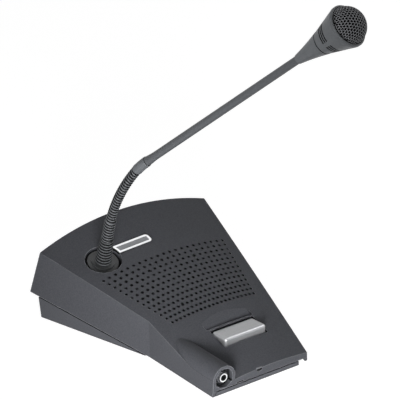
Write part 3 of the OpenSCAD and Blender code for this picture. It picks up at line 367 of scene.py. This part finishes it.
# %% Brushed acrylic
smoked, tree, where = blank("acrylic_smoked_brushed")
stretch = add(tree, "ShaderNodeMapping", {"Vector": where, "Scale": (1 / (7 * MM), 1 / (0.7 * MM), 1 / (0.7 * MM))})
lines = add(tree, "ShaderNodeTexNoise", {"Vector": stretch.outputs[0], "Scale": 1.0, "Detail": 3.0})
tone = add(tree, "ShaderNodeValToRGB", {"Fac": lines.outputs["Fac"]})
tone.color_ramp.elements[0].color, tone.color_ramp.elements[1].color = linear("#6a6c6f"), linear("#838588")
lift = add(tree, "ShaderNodeBump", {"Height": lines.outputs["Fac"], "Distance": 0.005 * MM, "Strength": 1.0})
skin = add(tree, "ShaderNodeBsdfPrincipled", {
    "Base Color": tone.outputs["Color"], "Normal": lift.outputs[0], "Roughness": 0.34, "IOR": 1.49})
add(tree, "ShaderNodeOutputMaterial", {"Surface": skin.outputs[0]})
print("window finish:", smoked.name)

# %% [markdown]
# ## Ribbed skins
# The flexible neck is a steel strip wound into a tube and dipped in black, and the boot at its foot is ribbed rubber.
# On both, the grooves are painted black, a painted shade, and the crests grey, a painted highlight. The
# mesh carries a number from 0 in a groove to 1 on a crest, and the material reads it for colour and gloss.

# %% Ribbed skins
def ribbed(name, groove, crest, rough, smooth):
    """Principled skin: the mesh's number blends the groove's painted shade to the crest's painted highlight, and rough
    to smooth; a 3 mm noise blotches it.
    """
    material, tree, where = blank(name)
    number = add(tree, "ShaderNodeAttribute", attribute_name="crest").outputs["Fac"]
    blotch = add(tree, "ShaderNodeTexNoise", {"Vector": where, "Scale": 1 / (3 * MM), "Detail": 2.0})
    patchy = add(tree, "ShaderNodeMapRange", {"Value": blotch.outputs["Fac"], "To Min": 0.8, "To Max": 1.2})
    # The crest's share of the painted highlight, blotched.
    crest_light = add(tree, "ShaderNodeMath", {0: number, 1: patchy.outputs[0]}, operation="MULTIPLY")
    tone = add(tree, "ShaderNodeValToRGB", {"Fac": crest_light.outputs[0]})
    tone.color_ramp.elements[0].color, tone.color_ramp.elements[1].color = linear(groove), linear(crest)
    tone.color_ramp.elements[0].position, tone.color_ramp.elements[1].position = 0.5, 0.95
    gloss = add(tree, "ShaderNodeMapRange", {"Value": number, "To Min": rough, "To Max": smooth})
    skin = add(tree, "ShaderNodeBsdfPrincipled", {
        "Base Color": tone.outputs["Color"], "Roughness": gloss.outputs[0], "IOR": 1.5, "Specular IOR Level": 0.12})
    add(tree, "ShaderNodeOutputMaterial", {"Surface": skin.outputs[0]})
    return material


# Groove colours are painted shade and crest colours painted highlight.
coated = ribbed("steel_wound_dipped_black", "#040405", "#5a5c5f", 0.7, 0.4)
rubber_boot = ribbed("rubber_moulded_ribbed", "#020203", "#4a4c4e", 0.85, 0.6)
print("ribbed skins:", coated.name, rubber_boot.name)

# %% [markdown]
# ## Loudspeaker cloth
# Acoustic cloth is stretched behind the grille. Two sets of bands at right angles draw its plain weave. Its threads
# are 0.4 mm apart; the bands are drawn 5 mm apart, far coarser, because through the holes only broad light and dark
# shows. A wave of scale 1 repeats every 2 pi / 20.

# %% Woven cloth
BAND = 5.0265
cloth, tree, where = blank("polyester_woven_black")
bands = {"Vector": where, "Scale": 2 * np.pi / 20 / (BAND * MM), "Distortion": 0.4}
warp, weft = (add(tree, "ShaderNodeTexWave", bands, bands_direction=way).outputs["Fac"] for way in "XY")
weave = add(tree, "ShaderNodeMath", {0: warp, 1: weft}, operation="MULTIPLY")
tone = add(tree, "ShaderNodeValToRGB", {"Fac": weave.outputs[0]})
tone.color_ramp.elements[0].color, tone.color_ramp.elements[1].color = linear("#0a0a0b"), linear("#232325")
lift = add(tree, "ShaderNodeBump", {"Height": weave.outputs[0], "Distance": 0.15 * MM, "Strength": 1.0})
skin = add(tree, "ShaderNodeBsdfPrincipled", {
    "Base Color": tone.outputs["Color"], "Normal": lift.outputs[0], "Roughness": 0.9, "Specular IOR Level": 0.1})
add(tree, "ShaderNodeOutputMaterial", {"Surface": skin.outputs[0]})
print("cloth finish:", cloth.name)

# %% [markdown]
# ## Finishes on the solids
# Every solid gets its finish, also one that a finer piece takes over further down. A solid's object stays as it is;
# just its material changes.

# %% Dress the solids
wardrobe = {
    abs_cover: ["top_cover"],
    abs_tray: ["bottom_tray"],
    steel_dark: ["ballast_plate"],
    rubber_pad: ["base_pad"],
    zinc: ["cover_screws", "board_screws", "key_hinge_pin", "key_springs", "neck_nut"],
    basket_black: ["speaker_frame", "speaker_screws"],
    cloth: ["speaker_gauze"],
    cone_paper: ["speaker_cone"],
    ferrite: ["speaker_magnet"],
    silver_paint: ["talk_key"],
    abs_black: ["key_switch", "network_socket", "headset_jack", "capsule_carrier"],
    acetal_white: ["switch_plunger"],
    solder_mask: ["key_board", "main_board"],
    chrome: ["jack_ring", "status_frame"],
    smoked: ["status_window"],
    diffuser: ["status_lights"],
    flange_black: ["neck_flange"],
    rubber_boot: ["neck_boot"],
    coated: ["gooseneck_flex"],
    head_lacquer: ["stem_collar", "mic_cone", "mic_barrel"],
    stem_lacquer: ["stem_tube"],
    mesh_black: ["mic_dome"],
    foam_black: ["mic_foam"],
    turned: ["mic_capsule"],
}
for finish, names in wardrobe.items():
    for name in names:
        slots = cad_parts[name].data.materials
        slots.clear()
        slots.append(finish)
print(sum(len(names) for names in wardrobe.values()), "of", len(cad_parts), "solids dressed")

# %% [markdown]
# ## From a grid to a mesh
# A surface here is an array of points with two counters, such as "how far along" and "how far round". Quads join each
# point to its neighbours in both directions. Points that fall together, as where a surface closes on itself or ends
# in a pole, are merged, and the faces are then turned to point outwards.

# %% Grid to mesh
MERGE, SLIVER = 0.002, 0.001


def surface(name, points, finish, body=None, numbers=None):
    """Points of shape (rows, columns, 3), in mm, joined row by row into quads; numbers are kept per point by name."""
    rows, columns = points.shape[:2]
    index = np.arange(rows * columns).reshape(rows, columns)
    quads = np.stack([index[:-1, :-1], index[:-1, 1:], index[1:, 1:], index[1:, :-1]], axis=-1).reshape(-1, 4)
    mesh = bpy.data.meshes.new(name)
    mesh.from_pydata(points.reshape(-1, 3) * MM, [], quads.tolist())
    for label, values in (numbers or {}).items():
        mesh.attributes.new(label, "FLOAT", "POINT").data.foreach_set("value", values.ravel().astype(np.float32))
    return finished(name, mesh, finish, body)


def finished(name, mesh, finish, body):
    """Merges doubles, turns faces outwards, shades smooth and makes the object."""
    work = bmesh.new()
    work.from_mesh(mesh)
    bmesh.ops.remove_doubles(work, verts=work.verts, dist=MERGE * MM)
    bmesh.ops.dissolve_degenerate(work, edges=work.edges, dist=SLIVER * MM)
    bmesh.ops.recalc_face_normals(work, faces=work.faces)
    work.to_mesh(mesh)
    work.free()
    mesh.materials.append(finish)
    mesh.shade_smooth()
    piece = bpy.data.objects.new(name, mesh)
    scene.collection.objects.link(piece)
    if body:
        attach(piece, body)
    return piece


print("points within", MERGE, "mm of each other are merged")

# %% [markdown]
# ## Where the neck stands
# The neck is square to the arched top, then turned and leaned. Its frame is the place on the top and three
# directions, worked out from the same sizes as the solids.

# %% Frame of the neck
def turn(axis, degrees):
    """Matrix that turns about X, Y or Z by the right-hand rule."""
    a, b = {"x": (1, 2), "y": (2, 0), "z": (0, 1)}[axis]
    matrix, angle = np.eye(3), np.radians(degrees)
    matrix[a, a] = matrix[b, b] = np.cos(angle)
    matrix[a, b], matrix[b, a] = -np.sin(angle), np.sin(angle)
    return matrix


SLOPE, ARCH, REAR_HEIGHT, BASE_DEPTH = 16.0, 312.0, 66.5, 192
APEX = REAR_HEIGHT - BASE_DEPTH / 2 * np.tan(np.radians(SLOPE))


def on_top(x, y):
    """Place above a desk point on the arched top, and the matrix of the frame that is square to it there."""
    drop = ARCH - np.sqrt(ARCH ** 2 - x ** 2)
    along = (y - drop * np.sin(np.radians(SLOPE))) / np.cos(np.radians(SLOPE))
    slope, arch = turn("x", SLOPE), turn("y", np.degrees(np.arcsin(x / ARCH)))
    return np.array([0, 0, APEX]) + slope @ (np.array([0, along, -ARCH]) + arch @ [0, 0, ARCH]), slope @ arch


NECK_X, NECK_Y, NECK_TWIST, NECK_LEAN = -45.0, 56.3, 36.8, 5.6
NECK, neck_square = on_top(NECK_X, NECK_Y)
NECK_TURN = neck_square @ turn("z", NECK_TWIST) @ turn("x", NECK_LEAN)
print("neck stands at", NECK.round(2), "and points along", NECK_TURN[:, 2].round(3))

# %% [markdown]
# The neck rises straight for a little way, then its lean grows steadily, and faster in the bent collar above it. Adding
# up the direction in small steps gives the middle line. The stem goes on from its end without a bend.

# %% Middle line of the flexible neck
BOOT, STRAIGHT, FLEX, COLLAR = 24.0, 12.0, 76.6, 19.4
FLEX_LEAN, COLLAR_LEAN = 20.2, 33.2
steps = np.linspace(0, FLEX + COLLAR, 2001)
lean = np.radians(np.interp(steps, [0, STRAIGHT, FLEX, FLEX + COLLAR], [0, 0, FLEX_LEAN, COLLAR_LEAN]))
middle_lean = (lean[1:] + lean[:-1]) / 2
line_y = np.concatenate([[0], np.cumsum(-np.sin(middle_lean))]) * (steps[1] - steps[0])
line_z = np.concatenate([[0], np.cumsum(np.cos(middle_lean))]) * (steps[1] - steps[0]) + BOOT


def along_neck(s):
    """Middle of the neck at a length s above the boot, and the lean there, in degrees."""
    local = np.stack([0 * s, np.interp(s, steps, line_y), np.interp(s, steps, line_z)], axis=-1)
    return NECK + local @ NECK_TURN.T, np.degrees(np.interp(s, steps, lean))


ARM, arm_lean = along_neck(np.array(FLEX + COLLAR))
ARM_TURN = NECK_TURN @ turn("x", float(arm_lean))
print("stem starts at", ARM.round(2), "and points along", ARM_TURN[:, 2].round(3))

# %% [markdown]
# ## The flexible neck
# The strip makes a rib at each turn. Round a middle line, a ring's radius is the full one less a groove, and the
# groove is a wave along the length. The neck bends at two hinges in the motion model, so it is two pieces that meet
# half way: the lower one runs from the base to the middle, and the upper one from the middle to the arm.

# %% Flexible neck
RIBS, RIB_DEPTH = 27, 0.8
FLEX_D, FOOT_D, FOOT, RIB_END = 7.8, 9.3, 20.0, 82.0
AROUND = np.linspace(0, 2 * np.pi, 49)[None, :]


def along_line(name, s, radius, finish, body=None, numbers=None):
    """Rings about the neck's middle line: at length s, point = middle + r (cos a * X + sin a * Y leaned with it)."""
    centre, tilt = along_neck(s[:, 0])
    tilt = np.radians(tilt)[:, None]
    x, y = radius * np.cos(AROUND), radius * np.sin(AROUND)
    local = np.stack([x, y * np.cos(tilt), y * np.sin(tilt)], -1)
    return surface(name, centre[:, None] + local @ NECK_TURN.T, finish, body, numbers)


def ribbed_neck(name, start, end):
    """Radius = R - depth (1 - crest), crest = sin(pi s/pitch + angle/2)^2: one groove winds up like a thread.
    R is larger over the foot, where a sleeve is pushed on."""
    s = np.linspace(start, end, int((end - start) / FLEX * RIBS * 10) + 1)[:, None]
    crest = np.sin(np.pi * s * RIBS / FLEX + AROUND / 2) ** 2
    full = np.where(s < FOOT, FOOT_D, FLEX_D) / 2
    return along_line(name, s, full - RIB_DEPTH * (1 - crest), coated, None, {"crest": crest})


HALF_WAY = FLEX / 2
neck_lower = ribbed_neck("neck_lower", 0, HALF_WAY)
neck_upper = ribbed_neck("neck_upper", HALF_WAY, RIB_END)
for piece in (neck_lower, neck_upper):
    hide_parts("gooseneck_flex")
print("neck:", len(neck_lower.data.polygons) + len(neck_upper.data.polygons), "faces")

# %% [markdown]
# Each half's placing is then baked into its mesh. For each, the table gives the body below and the body above, which
# are not used, and two lengths on the middle line, whose difference is printed.

# %% Baking the halves
blends = {neck_lower: ("base", "neck", 8.0, 38.0), neck_upper: ("neck", "arm", 42.0, 74.0)}
for piece, (low, high, start, end) in blends.items():
    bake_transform(piece)
    print(piece.name, "bends over", end - start, "mm")

# %% [markdown]
# ## The collar
# A plain bent sleeve joins the ribs to the stem. It is a tube on the same middle line, whose wall turns in at both
# ends, which leaves a fine dark line against the ribs and against the stem.

# %% Collar
COLLAR_D, COLLAR_END = 8.2, FLEX + COLLAR
sleeve = np.array([RIB_END - 0.6, RIB_END - 0.6, RIB_END - 0.3, RIB_END + 0.4,
                   *np.linspace(RIB_END + 1, COLLAR_END - 1, 25),
                   COLLAR_END - 0.5, COLLAR_END - 0.15, COLLAR_END - 0.15])
wall_r = np.array([0, COLLAR_D / 2 - 0.7, COLLAR_D / 2 - 0.2, *np.full(27, COLLAR_D / 2), COLLAR_D / 2 - 0.35, 0])
collar = along_line("collar", sleeve[:, None], wall_r[:, None], head_lacquer, "arm")
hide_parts("stem_collar")
print("collar:", len(collar.data.polygons), "faces")

# %% [markdown]
# ## The boot
# A ribbed rubber boot grips the foot of the neck and spreads its bending. It is a profile turned round the neck's
# axis: a straight taper with a row of round ribs, closed below and above.

# %% Boot
BOOT_D, BOOT_TOP_D, BOOT_RIBS, BOOT_FOOT, BOOT_GROOVE = 13.4, 10.4, 9, -1.4, 1.04


def turned_profile(name, radius, height, finish, body, origin, matrix, sides=64, numbers=None):
    """Each point of a profile (radius, height) goes round the axis: x = r cos a, y = r sin a, z = height. Numbers given
    for the profile by name go round with it."""
    angle = np.linspace(0, 2 * np.pi, sides + 1)[None, :]
    radius, height = np.asarray(radius)[:, None], np.asarray(height)[:, None]
    local = np.stack([radius * np.cos(angle), radius * np.sin(angle), height + 0 * angle], -1)
    numbers = {label: np.asarray(values)[:, None] + 0 * angle for label, values in (numbers or {}).items()}
    return surface(name, origin + local @ matrix.T, finish, body, numbers)


t = np.linspace(0, 1, BOOT_RIBS * 10 + 1)
rib = np.sin(np.pi * t * BOOT_RIBS) ** 2
boot_r = BOOT_D / 2 + (BOOT_TOP_D - BOOT_D) / 2 * t - BOOT_GROOVE * (1 - rib)
boot_z = BOOT_FOOT + (BOOT - BOOT_FOOT) * t
boot = turned_profile("boot", [0, *boot_r, 0], [boot_z[0], *boot_z, boot_z[-1]], rubber_boot, "base", NECK, NECK_TURN,
                      numbers={"crest": [0, *rib, 0]})
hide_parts("neck_boot")
print("boot:", len(boot.data.polygons), "faces")

# %% [markdown]
# ## The perforated dome
# A cap of sheet steel with holes in a honeycomb covers the capsule. Each hole is the middle of a six-sided cell, and
# a cell is a ring of quads between its outline and the hole. All cells are worked out flat at once, as arrays.

# %% Honeycomb
PITCH, HOLE, SHEET, DOME_R, DOME_H = 2.4, 1.8, 0.4, 14.69, 12.99
BALL = (DOME_R ** 2 + DOME_H ** 2) / (2 * DOME_H)
REACH = BALL * np.arcsin(DOME_R / BALL)


def honeycomb():
    """Flat cells: centres on a triangular grid, outlines of 6 corners and 6 side middles, and holes of 12 points."""
    n = int(REACH / PITCH) + 3
    i, j = np.meshgrid(np.arange(-n, n + 1), np.arange(-n, n + 1))
    centres = np.stack([(i + j / 2).ravel(), (j * np.sqrt(3) / 2).ravel()], -1) * PITCH
    centres = centres[np.hypot(*centres.T) < REACH + 0.2 * PITCH]
    angle = np.radians(np.arange(12) * 30.0)
    across = np.where(np.arange(12) % 2 == 0, PITCH / 2, PITCH / np.sqrt(3))
    ring = np.stack([np.cos(angle), np.sin(angle)], -1)
    outline = centres[:, None] + ring * across[:, None]
    hole = centres[:, None] + ring * HOLE / 2
    points = np.concatenate([outline, hole], axis=1).reshape(-1, 2)
    start = np.arange(len(centres))[:, None] * 24
    k, following = np.arange(12), (np.arange(12) + 1) % 12
    quads = np.stack([start + k, start + following, start + 12 + following, start + 12 + k], -1).reshape(-1, 4)
    return points, quads, len(centres)


flat, quads, hole_count = honeycomb()
print("dome:", hole_count, "holes")

# %% [markdown]
# Cells share their outlines, so points that fall together become one. A side that only one quad has lies at a border,
# and the borders near the rim are moved to it, as in a cap cut from ready-made sheet. The flat sheet is then wrapped
# over a ball: the distance from the centre becomes an arc. Solidify gives the sheet its thickness.

# %% Dome
STEM, CONE, SEAM, BARREL, RIM, DOME_WALL = 171, 26.6, 0.6, 23.6, 2.4, 0.8
BARREL_START = STEM + CONE + SEAM
flat, same = np.unique(flat.round(4), axis=0, return_inverse=True)
quads = same.ravel()[quads]
sides = np.sort(np.stack([quads, np.roll(quads, -1, axis=1)], -1).reshape(-1, 2), axis=1)
single, times = np.unique(sides, axis=0, return_counts=True)
edge = np.unique(single[times == 1])
distance = np.hypot(*flat.T)
edge = edge[distance[edge] > REACH - 0.6 * PITCH]
distance_out = np.minimum(distance, REACH)
distance_out[edge] = REACH
polar, round_axis = distance_out / BALL, np.arctan2(flat[:, 1], flat[:, 0])
dome_base = BARREL_START + BARREL + RIM - DOME_WALL
cap = np.stack([BALL * np.sin(polar) * np.cos(round_axis), BALL * np.sin(polar) * np.sin(round_axis),
                dome_base + DOME_H - BALL + BALL * np.cos(polar)], -1)
dome_mesh = bpy.data.meshes.new("dome")
dome_mesh.from_pydata((ARM + cap @ ARM_TURN.T) * MM, [], quads.tolist())
dome = finished("dome", dome_mesh, mesh_black, "arm")
normals = np.empty(len(dome_mesh.polygons) * 3, np.float32)
dome_mesh.polygons.foreach_get("normal", normals)
if (normals.reshape(-1, 3) @ ARM_TURN[:, 2]).mean() < 0:
    dome_mesh.flip_normals()
thickness = dome.modifiers.new("sheet", "SOLIDIFY")
thickness.thickness, thickness.offset = SHEET * MM, -1
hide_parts("mic_dome")
print("dome:", len(dome_mesh.polygons), "quads over a ball of", round(BALL, 2), "mm")

# %% [markdown]
# ## Liner behind the slots
# The barrel is slotted through, to let sound out at the rear of the capsule. A black ring lines it, a painted shade
# for the dark inside of the barrel, so that nothing is seen behind the slots. It is a short cone, just smaller than
# the barrel's inside.

# %% Liner
SEAM_D, RIM_D, MIC_WALL, RIM_WALL, LINER, LINER_GAP = 18.6, 32.4, 1.6, 1.4, 0.8, 0.15
seam_r, inside_rim = SEAM_D / 2 - MIC_WALL, RIM_D / 2 - 2 * RIM_WALL
liner_z = np.array([5.6, 13.8])
liner_r = seam_r + (inside_rim - seam_r) * liner_z / (BARREL - RIM_WALL) - LINER_GAP
round_z = BARREL_START + np.array([*liner_z, *liner_z[::-1], liner_z[0]])
# A painted shade behind the slots.
liner = turned_profile("slot_liner", [*liner_r, *(liner_r[::-1] - LINER), liner_r[0]], round_z, foam_black,
                       "arm", ARM, ARM_TURN)
print("liner:", liner_r.round(2), "mm radius")

# %% [markdown]
# ## Foam behind the dome
# A thin cap of open-celled foam lies under the perforated sheet and keeps breath off the capsule. It is a closed pad:
# an outer arc, a round edge and an inner arc, turned round the axis of the head. It reaches nearly down to the rim, so
# that no light passes under it and the holes look black.

# %% Foam
FOAM, FOAM_GAP, FOAM_EDGE = 1.6, 0.85, 72.0
outer_r = BALL - FOAM_GAP
bow = np.radians(np.linspace(0, FOAM_EDGE, 25))
lip = np.radians(np.linspace(0, 180, 9)[1:-1])
edge_dir = np.array([np.sin(bow[-1]), np.cos(bow[-1])])
along_edge = np.array([np.cos(bow[-1]), -np.sin(bow[-1])])
lip_points = (edge_dir * (outer_r - FOAM / 2) + np.cos(lip)[:, None] * edge_dir * FOAM / 2
              + np.sin(lip)[:, None] * along_edge * FOAM / 2)
arc = np.stack([np.sin(bow), np.cos(bow)], -1)
pad = np.concatenate([arc * outer_r, lip_points, arc[::-1] * (outer_r - FOAM)])
foam = turned_profile("foam_cap", pad[:, 0], pad[:, 1] + dome_base + DOME_H - BALL, foam_black,
                      "arm", ARM, ARM_TURN, 48)
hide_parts("mic_foam")
print("foam:", len(foam.data.polygons), "faces")

# %% [markdown]
# ## Cloth behind the grille
# Black cloth is stretched under the holes, so that no dust falls into the loudspeaker. It follows the arch of the top
# and is cut round the loudspeaker's seat, so it is a disc inside the seat and a frame outside it. Both are grids of
# rays and steps about the loudspeaker's middle, and each ray ends at the edge of the cloth or short of the neck.

# %% Stretched cloth
CLOTH_DROP, SPEAKER_Y, DISC_R, FRAME_R, WELL_V, WELL_R = 2.7, 7.0, 27.2, 31.8, 57.6, 17.6
CLOTH_R, SEAT_V = ARCH - CLOTH_DROP, SPEAKER_Y / np.cos(np.radians(SLOPE))
CLOTH_REAR, CLOTH_FRONT, HALF_REAR, HALF_FRONT = 44.1, -30.8, 60.9, 39.0
rays = np.linspace(0, 2 * np.pi, 145)
ray = np.stack([np.cos(rays), np.sin(rays)], -1)
taper = (HALF_REAR - HALF_FRONT) / (CLOTH_REAR - CLOTH_FRONT)
half_mid = HALF_FRONT + taper * (SEAT_V - CLOTH_FRONT)
steepest = np.abs(ray[:, 0]) - taper * ray[:, 1]
across_edge = np.where(steepest > 1e-6, half_mid / np.maximum(steepest, 1e-6), np.inf)
end_edge = np.where(ray[:, 1] > 0, CLOTH_REAR - SEAT_V, SEAT_V - CLOTH_FRONT) / np.maximum(np.abs(ray[:, 1]), 1e-6)
to_well = np.array([NECK_X, WELL_V - SEAT_V])
ahead = ray @ to_well
inside = np.maximum(WELL_R ** 2 - (to_well @ to_well - ahead ** 2), 0)
well_edge = np.where((inside > 0) & (ahead > 0), ahead - np.sqrt(inside), np.inf)
rim = np.minimum(np.minimum(across_edge, end_edge), well_edge)


def stretched(name, inner, outer):
    """Points at inner + t (outer - inner) along each ray, on a cylinder of the arch's radius less the wall."""
    t = np.linspace(0, 1, 13)[:, None]
    reach = inner + t * (outer[None, :] - inner)
    x, v = reach * ray[:, 0], SEAT_V + reach * ray[:, 1]
    local = np.stack([x, v, np.sqrt(CLOTH_R ** 2 - x ** 2) - ARCH], -1)
    return surface(name, np.array([0, 0, APEX]) + local @ turn("x", SLOPE).T, cloth, "base")


cloth_inside = stretched("cloth_inside", 0.0, np.full(len(rays), DISC_R))
cloth_outside = stretched("cloth_outside", FRAME_R, rim)
for piece, flat_size in {cloth_inside: (0.0544, 0.0544), cloth_outside: (0.122, 0.075)}.items():
    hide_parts("speaker_gauze")
    areas = np.empty(len(piece.data.polygons), np.float32)
    piece.data.polygons.foreach_get("area", areas)
    print(piece.name, round(float(areas.sum()) * 1e6), "square mm")

# %% [markdown]
# ## The talk key
# The key is a hollow cap with soft edges. Its outline is a rounded rectangle, and a profile goes round it: up the wall,
# over a quarter circle, across the top, and back inside as the inner wall. Each step of the profile is the outline
# drawn in by an inset, at its own height; the top rises a little to the front.

# %% Key
KEY_W, KEY_D, KEY_REAR, KEY_R, KEY_WALL = 40.0, 18.0, 47.5, 2.6, 1.8
KEY_RISE, KEY_SINK, SKIRT_SINK = 1.4, 1, 4.6
KEY_TOP = APEX - KEY_REAR * np.tan(np.radians(SLOPE)) - KEY_SINK
KEY_SKIRT = APEX - (KEY_REAR + KEY_D) * np.tan(np.radians(SLOPE)) - SKIRT_SINK
corner_angle = np.radians(np.linspace(0, 90, 9)[None, :] + 90 * np.arange(4)[:, None])
corner_x = np.array([1, -1, -1, 1])[:, None] * (KEY_W / 2 - KEY_R) + 0 * corner_angle
corner_y = np.array([1, 1, -1, -1])[:, None] * (KEY_D / 2 - KEY_R) - KEY_REAR - KEY_D / 2 + 0 * corner_angle


def outline_at(inset, share, height, follow):
    """Rounded rectangle drawn in by inset and then scaled to its middle by share; height is kept, or with follow = 1
    counted from the top, which rises by KEY_RISE from the rear to the front."""
    inset, share, height, follow = (np.asarray(v, float)[:, None] for v in (inset, share, height, follow))
    x = (corner_x.ravel() + (KEY_R - inset) * np.cos(corner_angle.ravel())) * share
    middle = -KEY_REAR - KEY_D / 2
    y = (corner_y.ravel() + (KEY_R - inset) * np.sin(corner_angle.ravel()) - middle) * share + middle
    slope = KEY_TOP + KEY_RISE * (-KEY_REAR - y) / KEY_D
    points = np.stack([x, y, height + follow * slope], -1)
    return np.concatenate([points, points[:, :1]], axis=1)


over = np.radians(np.linspace(0, 90, 10))
inset = [KEY_WALL, 0, *(KEY_R * (1 - np.cos(over))), KEY_R, KEY_R, KEY_R, KEY_WALL, KEY_WALL, KEY_WALL]
share = [1, 1, *np.ones(10), 0.9, 0.5, 0, 0, 1, 1]
height = [KEY_SKIRT, KEY_SKIRT, *(KEY_R * (np.sin(over) - 1)), 0, 0, 0, -KEY_WALL, -KEY_WALL, KEY_SKIRT]
follow = [0, 0, *np.ones(10), 1, 1, 1, 1, 1, 0]
key_parts = [surface("key_cap", outline_at(inset, share, height, follow), silver_paint)]
print("key cap:", len(key_parts[0].data.polygons), "faces")

# %% [markdown]
# Two lugs behind the cap hold the hinge pin, each tied to the rear wall by a short web, and a post under the top
# presses the switch. They are turned shapes, and become one mesh with the cap.

# %% Lugs and post
PIN_D, LUG_R, LUG_W, LUG_X, LUG_BACK, LUG_DROP = 2.56, 2.8, 4.0, 14.0, 1.1, 1
WEB_R, WEB_L, POST_R, POST_SHARE, POST_GAP, BITE, SHARP = 1.7, 2.9, 1.6, 0.58, 0.3, 0.3, 50
HINGE_Y, HINGE_Z = -KEY_REAR + LUG_R + LUG_BACK, KEY_SKIRT + LUG_R - LUG_DROP
lug_r, lug_z = [PIN_D / 2, LUG_R, LUG_R, PIN_D / 2, PIN_D / 2], np.array([-1, -1, 1, 1, -1]) * LUG_W / 2
for side in (-1, 1):
    middle = np.array([side * LUG_X, HINGE_Y, HINGE_Z])
    key_parts.append(turned_profile("lug", lug_r, lug_z, silver_paint, None, middle, turn("y", 90), 24))
    web = np.array([0, -LUG_R + 0.2, 0]) + middle
    key_parts.append(turned_profile("web", [0, WEB_R, WEB_R, 0], [0, 0, WEB_L, WEB_L], silver_paint, None,
                                    web, turn("x", 90), 16))
post_y, post_low = -KEY_REAR - KEY_D * POST_SHARE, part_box("switch_plunger")[1][2] / MM + POST_GAP
post_high = KEY_TOP - KEY_WALL + KEY_RISE * POST_SHARE + BITE
key_parts.append(turned_profile("post", [0, POST_R, POST_R, 0], [post_low, post_low, post_high, post_high],
                                silver_paint, None, np.array([0, post_y, 0]), np.eye(3), 24))


def joined(parts):
    """One mesh out of several: the first part takes in the rest, which are then removed."""
    work = bmesh.new()
    for part in parts:
        work.from_mesh(part.data)
    work.to_mesh(parts[0].data)
    work.free()
    parts[0].data.shade_smooth()
    parts[0].data.set_sharp_from_angle(angle=np.radians(SHARP))
    for part in parts[1:]:
        bpy.data.objects.remove(part)
    return parts[0]


key_cap = joined(key_parts)
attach(key_cap, "key")
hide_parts("talk_key")
print("key with lugs and post:", len(key_cap.data.polygons), "faces")

# %% [markdown]
# ## Painted shade in the front lip's notch
# A small black piece fills the notch in the front lip, a painted shade for the shade inside the opening. Its outline
# is a squared-off ellipse, and its face is a shallow pillow, set back a little from the lip.

# %% Painted shade in the notch
NOTCH_X, NOTCH_Y, NOTCH_Z, NOTCH_W, NOTCH_H, SQUARED = -11.1, -95.3, 10.04, 2.3, 0.92, 6
spread = np.array([0, 0.5, 0.8, 0.95, 1, 1, 0])[:, None]
bulge = np.array([0.25, 0.19, 0.09, 0.03, 0, -0.6, -0.6])[:, None]
angle = np.linspace(0, 2 * np.pi, 41)[None, :]
square = (np.abs(np.cos(angle)) ** SQUARED + np.abs(np.sin(angle)) ** SQUARED) ** (-1 / SQUARED)
notch_shade_points = np.stack([NOTCH_X + NOTCH_W * spread * square * np.cos(angle), NOTCH_Y - bulge + 0 * angle,
                       NOTCH_Z + NOTCH_H * spread * square * np.sin(angle)], -1)
# This piece is a painted shade in the notch.
eye = surface("front_notch_shade", notch_shade_points, abs_black, "base")
print("eye:", len(eye.data.polygons), "faces")

# %% [markdown]
# ## Springs under the key
# Two small coils push the key up. A coil is a circle carried along a helix, with a close turn at each end where it
# stands on the board and under the key. The pair is one mesh.

# %% Springs
COIL_X, COIL_Y, COIL_LOW, COIL_HIGH = 11.0, -53.98, 8.1, 22.57
COIL_R, WIRE, TURNS, LIFT = 2.0, 0.3, 8, 1.1


def carried(path, out, up, radius, sides=8):
    """A circle carried along a path: point = path + r (cos a * out + sin a * up); both ends close to a point."""
    angle = np.linspace(0, 2 * np.pi, sides + 1)[None, :, None]
    swell = np.full(len(path), radius)
    path, out, up = (np.concatenate([x[:1], x, x[-1:]]) for x in (path, out, up))
    swell = np.concatenate([[0], swell, [0]])[:, None, None]
    return path[:, None] + swell * (np.cos(angle) * out[:, None] + np.sin(angle) * up[:, None])


t = np.linspace(0, TURNS, TURNS * 20 + 1)
wind = 2 * np.pi * t
low, high = COIL_LOW + WIRE, COIL_HIGH - WIRE
rise = low + LIFT * (np.minimum(t, 1) + np.maximum(t - TURNS + 1, 0))
rise = rise + (high - low - 2 * LIFT) * np.clip((t - 1) / (TURNS - 2), 0, 1)
out = np.stack([np.cos(wind), np.sin(wind), 0 * t], -1)
up = np.tile([0.0, 0.0, 1.0], (len(t), 1))
coil = carried(out * [COIL_R, COIL_R, 0] + np.stack([0 * t, 0 * t + COIL_Y, rise], -1), out, up, WIRE)
springs = joined([surface("springs", coil + [COIL_X, 0, 0], zinc), surface("spring_left", coil - [COIL_X, 0, 0], zinc)])
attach(springs, "base")
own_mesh(springs)
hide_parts("key_springs")
print("springs:", len(springs.data.polygons), "faces")

# %% [markdown]
# ## Contacts in the network socket
# Eight gold-flashed wires rise from the floor of the socket towards its back, 1.27 mm apart. Each is a circle carried
# along a short bent line, and is a small mesh of its own.

# %% Contacts
CONTACTS, SPACING, SOCKET_X, CONTACT_R, STEPS = 8, 1.27, 30, 0.22, 9
MOUTH_Y, DEPTH, LOW_Z, RISE = 94.0, 11.5, 9.6, 3.4
reach_in = np.linspace(0, 1, STEPS)
wire_path = np.stack([0 * reach_in, MOUTH_Y - DEPTH * reach_in, LOW_Z + RISE * reach_in ** 1.3], -1)
side = np.tile([1.0, 0.0, 0.0], (STEPS, 1))
upright = np.tile([0.0, 0.28, 0.96], (STEPS, 1))
one = carried(wire_path, side, upright, CONTACT_R)
places = SOCKET_X + (np.arange(CONTACTS) - (CONTACTS - 1) / 2) * SPACING
contacts = [surface(f"contact_{k}", one + [x, 0, 0], gold, "base") for k, x in enumerate(places)]
print("contacts:", len(contacts))
